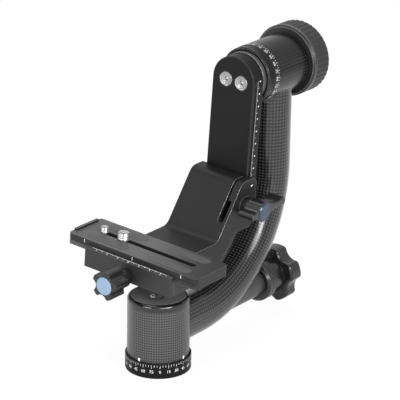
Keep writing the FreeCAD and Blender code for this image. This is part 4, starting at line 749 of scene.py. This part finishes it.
# ---------------------------------------------------------------------------------------------
# Swing: the steel tilt shaft, a turned flange and spacer, and the rail, a machined aluminium
# bar with grooved edges, held by two dished screws. A worn line runs down the rail's right side,
# with a white spot every 10 mm and a short mark between the spots. The small knobs' screws and
# washer are of the shaft's steel.
# ---------------------------------------------------------------------------------------------

REST_TILT = math.radians(3.8)
SWING = Matrix.Translation((0, 0, TILT_HEIGHT)) @ Matrix.Rotation(REST_TILT, 4, "Y")


def in_swing(finish, place):
    """The swing's own coordinates of a place on it."""
    return finish.add("ShaderNodeMapping", {"vector_type": "TEXTURE"},
                      {"Vector": place, "Location": (0, 0, TILT_HEIGHT), "Rotation": (0, REST_TILT, 0)})


dress(turned_steel("shaft_steel", 0.55, 0.25), "tilt_shaft", "height_washer", "height_knob_screw",
      "plate_knob_screw")
flange_coat = satin_metal("flange_anodising", grey(0.004), grey(0.007), grey(0.4), 0.22, ior=1.2, shine=0.8)
dress(flange_coat, "tilt_flange")
spacer_coat = satin_metal("spacer_anodising", grey(0.04), grey(0.055), grey(0.4), 0.3, ior=1.42, shine=0.8)
dress(spacer_coat, "tilt_spacer")
rail_coat = satin_metal("rail_anodising", grey(0.004), grey(0.006), grey(0.13), 0.34, ior=1.22,
                        edge=0.5 * MM)
dress(rail_coat, "swing_rail", "rail_stop")
dress(dark_steel, "rail_stop_screw")

RIGHT = Vector((1, 0, 0))
BACK = Vector((0, 1, 0))
UP = Vector((0, 0, 1))


def on_face(origin, across_way, up_way):
    """A seat on a flat face of what swings, in the swing's own coordinates. The lift is outward."""
    outward = across_way.cross(up_way)

    def seat(across, up, lift):
        return SWING @ (origin + across_way * across + up_way * up + outward * lift)

    return seat


RAIL_BAND = Vector((19.0 * MM, 94.9 * MM, 0))
RAIL_LINE_TOP = 3.2 * MM
RAIL_LINE_LOW = -106.0 * MM
RAIL_LINE_WIDTH = 0.35 * MM
on_rail_side = on_face(RAIL_BAND, BACK, UP)
rail_line = [(0, (RAIL_LINE_TOP + RAIL_LINE_LOW) / 2, RAIL_LINE_WIDTH, RAIL_LINE_TOP - RAIL_LINE_LOW, 0)]
worn_fill = paint_fill("worn_filler", grey(0.2))
inlay("rail_line", "swing", rail_line, (), on_rail_side, worn_fill)
RAIL_MARKS = 22
RAIL_MARK_STEP = 5 * MM
RAIL_MARK_TOP = 2.8 * MM
RAIL_SPOT = (2.7 * MM, 1.3 * MM, 0.9 * MM)
RAIL_TICK = (1.2 * MM, 1.0 * MM, 0.4 * MM)
rail_strokes = []
for mark in range(RAIL_MARKS):
    across, width, height = RAIL_TICK if mark % 2 else RAIL_SPOT
    rail_strokes.append((across, RAIL_MARK_TOP - mark * RAIL_MARK_STEP, width, height, 0))
inlay("rail_scale", "swing", rail_strokes, (), on_rail_side, white_fill)

RAIL_SCREW_ASIDE = 7.0 * MM
DISH_RING = 0.22 * MM
DISH_HIGHLIGHT_BAND = 1.3 * MM
DISH_HIGHLIGHT_REACH = 1.4 * MM


def dished_steel():
    """Polished dished screw heads: the lathe's fine rings about each screw's axis as bumps, with broad pale
    and dark rings and a bright middle painted as highlights.
    """
    material, finish = new_finish("dished_steel")
    place = finish.place()
    across, up = finish.parts(in_swing(finish, place))[::2]
    side = abs(across) - RAIL_SCREW_ASIDE
    radius = (side * side + up * up).root()
    rings = (radius * (2 * math.pi / DISH_RING)).sine() * 0.6 + finish.noise(place, 2200.0, 1.0)
    haze = finish.noise(place, 500.0, 2.0)
    # Painted highlight: a bright middle and broad pale rings stand for the light on the dished heads.
    middle = (1.1 - radius / DISH_HIGHLIGHT_REACH).clamped()
    painted_highlight_bands = (radius * (2 * math.pi / DISH_HIGHLIGHT_BAND)).sine() * 0.5 + 0.5
    face = finish.tint((painted_highlight_bands * 0.8 + haze * 0.3).clamped(), grey(0.42), grey(0.19))
    close(finish, finish.tint(middle, face, grey(0.85)), 0.2 + haze * 0.15, rings, 0.012 * MM, Metallic=1.0)
    return material


dress(dished_steel(), "rail_screws")

# ---------------------------------------------------------------------------------------------
# Platform: a bent and machined aluminium bracket that slides on the rail, and the clamp under
# the lens plate with its moving jaw, guide pins and spring. The bracket's right flank has a white
# index, and the jaw's sloping front edge a filled scale with a mark every 5 mm.
# ---------------------------------------------------------------------------------------------

SLIT_LEFT = 16.3 * MM
SLIT_RIGHT = 21.5 * MM


def slit_walls(finish, place):
    """Painted shade: the walls inside the slit, which run back from the platform's front and don't face up,
    are masked to be painted dark.
    """
    across = finish.parts(in_swing(finish, place))[0]
    faces = finish.parts(finish.add("ShaderNodeNewGeometry", output="Normal"))
    inside = (across > SLIT_LEFT) * (across < SLIT_RIGHT)
    return inside * (abs(faces[1]) < 0.35) * (faces[2] < 0.5)


# Painted light on the bracket: its polished edges show on the right side only as painted highlights, and the
# slit's walls are painted dark matt as shade.
bracket_coat = satin_metal("bracket_anodising", grey(0.007), grey(0.011), grey(0.26), 0.38, ior=1.24,
                           edge=0.6 * MM, shine=0.75, right_edge_highlight=True, recess_shade=slit_walls)
dress(bracket_coat, "platform_bracket")
clamp_coat = satin_metal("clamp_anodising", grey(0.015), grey(0.021), grey(0.14), 0.38, ior=1.32)
dress(clamp_coat, "clamp_body", "clamp_jaw")
dress(dark_steel, "clamp_screws")

INDEX_SPOT = Vector((24.0 * MM, 89.9 * MM, -77.7 * MM))
INDEX_WIDTH = 2.2 * MM
INDEX_HEIGHT = 1.2 * MM
INDEX_LEAN = math.radians(10)
index_mark = [(0, 0, INDEX_WIDTH, INDEX_HEIGHT, INDEX_LEAN)]
inlay("bracket_index", "platform", index_mark, (), on_face(INDEX_SPOT, BACK, UP),
      white_fill)

JAW_SLOPE_LOW = Vector((0, -17.5 * MM, -117.7 * MM))
JAW_SLOPE_HIGH = Vector((0, -15.5 * MM, -116.4 * MM))
JAW_MIDDLE = -7.8 * MM
JAW_LINE_UP = 1.8 * MM
JAW_LINE_LENGTH = 69.0 * MM
JAW_LINE_WIDTH = 0.22 * MM
JAW_MARKS = range(-6, 8)
JAW_STEP = 5 * MM
JAW_LONG = (0.5 * MM, 1.6 * MM)
JAW_SHORT = (0.35 * MM, 0.8 * MM)
DIAMOND_DROP = 0.8 * MM
DIAMOND_SIDE = 1.2 * MM
jaw_strokes = [(JAW_MIDDLE, JAW_LINE_UP, JAW_LINE_LENGTH, JAW_LINE_WIDTH, 0)]
for mark in JAW_MARKS:
    width, length = JAW_SHORT if mark % 2 else JAW_LONG
    jaw_strokes.append((JAW_MIDDLE + mark * JAW_STEP, JAW_LINE_UP - length / 2, width, length, 0))
jaw_strokes.append((JAW_MIDDLE, JAW_LINE_UP - DIAMOND_DROP, DIAMOND_SIDE, DIAMOND_SIDE, math.radians(45)))
on_slope = on_face(JAW_SLOPE_LOW, RIGHT, (JAW_SLOPE_HIGH - JAW_SLOPE_LOW).normalized())
inlay("jaw_scale", "jaw", jaw_strokes, (), on_slope, grey_fill)

SPRING_RADIUS = 3.9 * MM
SPRING_WIRE = 0.35 * MM
SPRING_TURNS = 5
SPRING_STEPS = 24
spring_low, spring_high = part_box("jaw_spring")
coil = wound_wire(SPRING_RADIUS, SPRING_WIRE, sides=8, span=SPRING_TURNS * 2 * math.pi,
                  steps=SPRING_TURNS * SPRING_STEPS, rise=spring_high.y - spring_low.y - 2 * SPRING_WIRE)
spring_middle = (spring_low + spring_high) / 2
bmesh.ops.transform(coil, verts=coil.verts, matrix=Matrix.Translation(
    (spring_middle.x, spring_low.y + SPRING_WIRE, spring_middle.z)) @ Matrix.Rotation(-math.pi / 2, 4, "X"))
piece("jaw_coil", coil, "platform", bare_steel, replaced=("jaw_spring",))

# ---------------------------------------------------------------------------------------------
# Small lock knobs: black moulded grips with a blue cap in the end. The height lock is a wing
# knob on the bracket's right side, and the plate lock has five lobes.
# ---------------------------------------------------------------------------------------------

small_plastic = moulded_plastic("small_knob_nylon", grey(0.007), grey(0.012), 0.17, ior=1.42)
dress(small_plastic, "height_knob_grip", "plate_knob_grip")


def cap_plastic(name, colour, pale, roughness):
    """Glossy coloured plastic with a faint mould swirl."""
    material, finish = new_finish(name)
    place = finish.place()
    swirl = finish.noise(place, 130.0, 3.0)
    skin = finish.noise(place, 1800.0, 1.0)
    close(finish, finish.tint(swirl, colour, pale), roughness + swirl * 0.1, skin, 0.008 * MM,
          soft_edge=0.4 * MM, IOR=1.45)
    return material


pale_blue = cap_plastic("pale_blue_cap", (0.155, 0.24, 0.34, 1), (0.185, 0.265, 0.36, 1), 0.22)
dress(pale_blue, "plate_knob_cap")
steel_blue = cap_plastic("steel_blue_cap", (0.006, 0.021, 0.048, 1), (0.010, 0.028, 0.057, 1), 0.16)
dress(steel_blue, "height_knob_cap")

# ---------------------------------------------------------------------------------------------
# Lens plate: a machined dovetail plate with a slot, four ribbed rubber strips let in flush, a
# raised stop and two stop screws. Three white lines on its front edge mark its middle and ends.
# ---------------------------------------------------------------------------------------------

# Where the painted shade on the plate's top is darkest, and how far back to the left it reaches.
RIGHT_SHADE_END = 40 * MM
RIGHT_SHADE_REACH = 45 * MM


def plate_finish():
    """Anodised aluminium with painted light: faces that look up are rougher and painted pale as lit tops, the
    top is painted darker towards the right as shade, and the sides are painted dark as shade.
    """
    material, finish = new_finish("plate_anodising")
    place = finish.place()
    clouds = finish.noise(place, CLOUD_SCALE, 3.0)
    speck = finish.noise(place, BLAST_SCALE, 1.0)
    wear, rounded = worn_edge(finish, 0.45 * MM)
    faces_up = finish.parts(finish.add("ShaderNodeNewGeometry", output="Normal"))[2] > 0.7
    across = finish.parts(in_swing(finish, place))[0]
    # Painted shade: the top darkens towards the right end, down to a quarter of its paleness.
    painted_light_share = ((RIGHT_SHADE_END - across) / RIGHT_SHADE_REACH).clamped() * 0.75 + 0.25
    painted_side_shade = finish.tint(clouds, grey(0.010), grey(0.015))
    # Painted light: faces that look up take the pale top colour, the rest the dark colour of painted shade.
    base = finish.tint(faces_up * painted_light_share, painted_side_shade, finish.tint(clouds, grey(0.062), grey(0.076)))
    close(finish, finish.tint(wear * 0.7, base, grey(0.15)), 0.34 + clouds * 0.12 + faces_up * 0.08, speck,
          0.012 * MM, normal=rounded, Metallic=wear * 0.4, IOR=1.27)
    return material


dress(plate_finish(), "lens_plate")
dress(dark_steel, "plate_stops")

RIB_PITCH = 1.1 * MM


def ribbed_rubber():
    """Rubber strips with fine ribs along the plate."""
    material, finish = new_finish("strip_rubber")
    place = finish.place()
    along = finish.parts(in_swing(finish, place))[1]
    ribs = (along * (2 * math.pi / RIB_PITCH)).sine()
    dust = finish.noise(place, 160.0, 4.0)
    skin = finish.noise(place, 1500.0, 2.0)
    close(finish, finish.tint(dust, grey(0.045), grey(0.062)), 0.5 + dust * 0.12, ribs + skin * 0.4,
          0.03 * MM, IOR=1.33)
    return material


dress(ribbed_rubber(), "plate_pads")

PLATE_EDGE = Vector((0, -14.5 * MM, -114.6 * MM))
PLATE_LINE_PLACES = (-51.5 * MM, -6.0 * MM, 39.0 * MM)
PLATE_LINE_WIDTH = 0.42 * MM
PLATE_LINE_HEIGHT = 2.7 * MM
plate_lines = [(across, 0, PLATE_LINE_WIDTH, PLATE_LINE_HEIGHT, 0) for across in PLATE_LINE_PLACES]
inlay("plate_marks", "plate", plate_lines, (), on_face(PLATE_EDGE, RIGHT, UP), white_fill)

# ---------------------------------------------------------------------------------------------
# Camera screws: plated steel with a real thread, a hexagon socket in the end and a coin slot in
# the head under the plate. Each stands in the slot on its nylon washer and can slide along it.
# ---------------------------------------------------------------------------------------------

PLATE_TOP = -112.5 * MM
PLATE_MIDDLE = 4.6 * MM
INCH = 25.4 * MM

THREAD_START = 0.3 * MM
THREAD_BELOW = 1.5
THREAD_DEPTH = 0.55
THREAD_STEPS = 28
ROOT_END = 0.18
CREST_START = 0.45
CREST_END = 0.62
LEAD_IN = 0.6 * MM
LEAD_SLOPE = 0.9
SHANK_TOP = 0.4 * MM


def cut_off(mesh, place, outward):
    """Cuts away what lies beyond a plane and gives the edges of the cut."""
    cut = bmesh.ops.bisect_plane(mesh, geom=mesh.verts[:] + mesh.edges[:] + mesh.faces[:], plane_co=place,
                                 plane_no=outward, clear_outer=True)
    return [part for part in cut["geom_cut"] if isinstance(part, bmesh.types.BMEdge)]


def helical_thread(radius, tall, pitch):
    """A thread and its upper rim. The profile, whose sizes are in pitches, is swept by one turn, and the
    thread is cut level at both ends and closed at the lower one."""
    root = radius - THREAD_DEPTH * pitch
    thread = bmesh.new()
    chain = []
    for turn_number in range(math.ceil(tall / pitch) + 3):
        base = (turn_number - THREAD_BELOW) * pitch
        chain += [(root, base), (root, base + ROOT_END * pitch), (radius, base + CREST_START * pitch),
                  (radius, base + CREST_END * pitch)]
    verts = [thread.verts.new((reach, 0, up)) for reach, up in chain]
    for first, second in zip(verts, verts[1:]):
        thread.edges.new((first, second))
    bmesh.ops.spin(thread, geom=thread.verts[:] + thread.edges[:], cent=(0, 0, 0), axis=(0, 0, 1),
                   dvec=(0, 0, pitch / THREAD_STEPS), angle=2 * math.pi, steps=THREAD_STEPS)
    bmesh.ops.remove_doubles(thread, verts=thread.verts, dist=1e-6)
    bmesh.ops.holes_fill(thread, edges=cut_off(thread, (0, 0, THREAD_START), (0, 0, -1)), sides=0)
    return thread, cut_off(thread, (0, 0, tall), (0, 0, 1))


def sink_socket(screw, rim, tall, radius, depth):
    """Closes a screw's upper end with a flat face round a hexagon socket."""
    socket = bmesh.ops.create_circle(screw, segments=6, radius=radius,
                                     matrix=Matrix.Translation((0, 0, tall)))["verts"]
    mouth = [edge for edge in screw.edges if edge.verts[0] in socket and edge.verts[1] in socket]
    bmesh.ops.triangle_fill(screw, edges=rim + mouth, normal=(0, 0, 1), use_beauty=True)
    sunk = bmesh.ops.extrude_edge_only(screw, edges=mouth)["geom"]
    floor_edges = [part for part in sunk if isinstance(part, bmesh.types.BMEdge)]
    bmesh.ops.translate(screw, verts=[part for part in sunk if isinstance(part, bmesh.types.BMVert)],
                        vec=(0, 0, -depth))
    bmesh.ops.holes_fill(screw, edges=[edge for edge in floor_edges if edge.is_boundary], sides=0)


def taper_end(screw, radius, tall):
    """Narrows a screw's last stretch, as a lead-in."""
    for vert in screw.verts:
        reach = math.hypot(vert.co.x, vert.co.y)
        limit = radius - max(0.0, vert.co.z - (tall - LEAD_IN)) * LEAD_SLOPE
        if reach > limit:
            vert.co.x *= limit / reach
            vert.co.y *= limit / reach


def lower_half(node):
    """A mesh of the CAD screw up to just above the plate, closed there."""
    shank = bmesh.new()
    shank.from_mesh(nodes[node].data)
    bmesh.ops.remove_doubles(shank, verts=shank.verts, dist=1e-6)
    rim = cut_off(shank, SWING @ Vector((0, 0, PLATE_TOP + SHANK_TOP)), SWING.to_3x3() @ UP)
    bmesh.ops.holes_fill(shank, edges=rim, sides=0)
    mesh = bpy.data.meshes.new("shank")
    shank.to_mesh(mesh)
    shank.free()
    return mesh


def camera_screw(name, node, body, across, radius, tall, pitch, hex_radius, hex_depth):
    """A screw with a helical thread and a hexagon socket, carried by the CAD screw's lower half."""
    screw, rim = helical_thread(radius, tall, pitch)
    sink_socket(screw, rim, tall, hex_radius, hex_depth)
    taper_end(screw, radius, tall)
    bmesh.ops.recalc_face_normals(screw, faces=screw.faces)
    bmesh.ops.transform(screw, verts=screw.verts,
                        matrix=SWING @ Matrix.Translation((across, PLATE_MIDDLE, PLATE_TOP)))
    shank = lower_half(node)
    screw.from_mesh(shank)
    bpy.data.meshes.remove(shank)
    piece(name, screw, body, screw_steel, replaced=(node,))


def screw_finish():
    """Plated steel: bright, with a faint haze."""
    material, finish = new_finish("plated_screw_steel")
    place = finish.place()
    haze = finish.noise(place, 700.0, 3.0)
    close(finish, finish.tint(haze, grey(0.46), grey(0.28)), 0.26 + haze * 0.15, haze, 0.01 * MM,
          Metallic=1.0)
    return material


screw_steel = screw_finish()
dress(screw_steel, "quarter_screw", "large_screw")
camera_screw("quarter_thread", "quarter_screw", "quarter_bolt", across=-47.8 * MM, radius=INCH / 8,
             tall=4.8 * MM, pitch=INCH / 20, hex_radius=1.73 * MM, hex_depth=1.8 * MM)
camera_screw("large_thread", "large_screw", "large_bolt", across=-29.6 * MM, radius=INCH * 3 / 16,
             tall=5.7 * MM, pitch=INCH / 16, hex_radius=2.75 * MM, hex_depth=2.4 * MM)
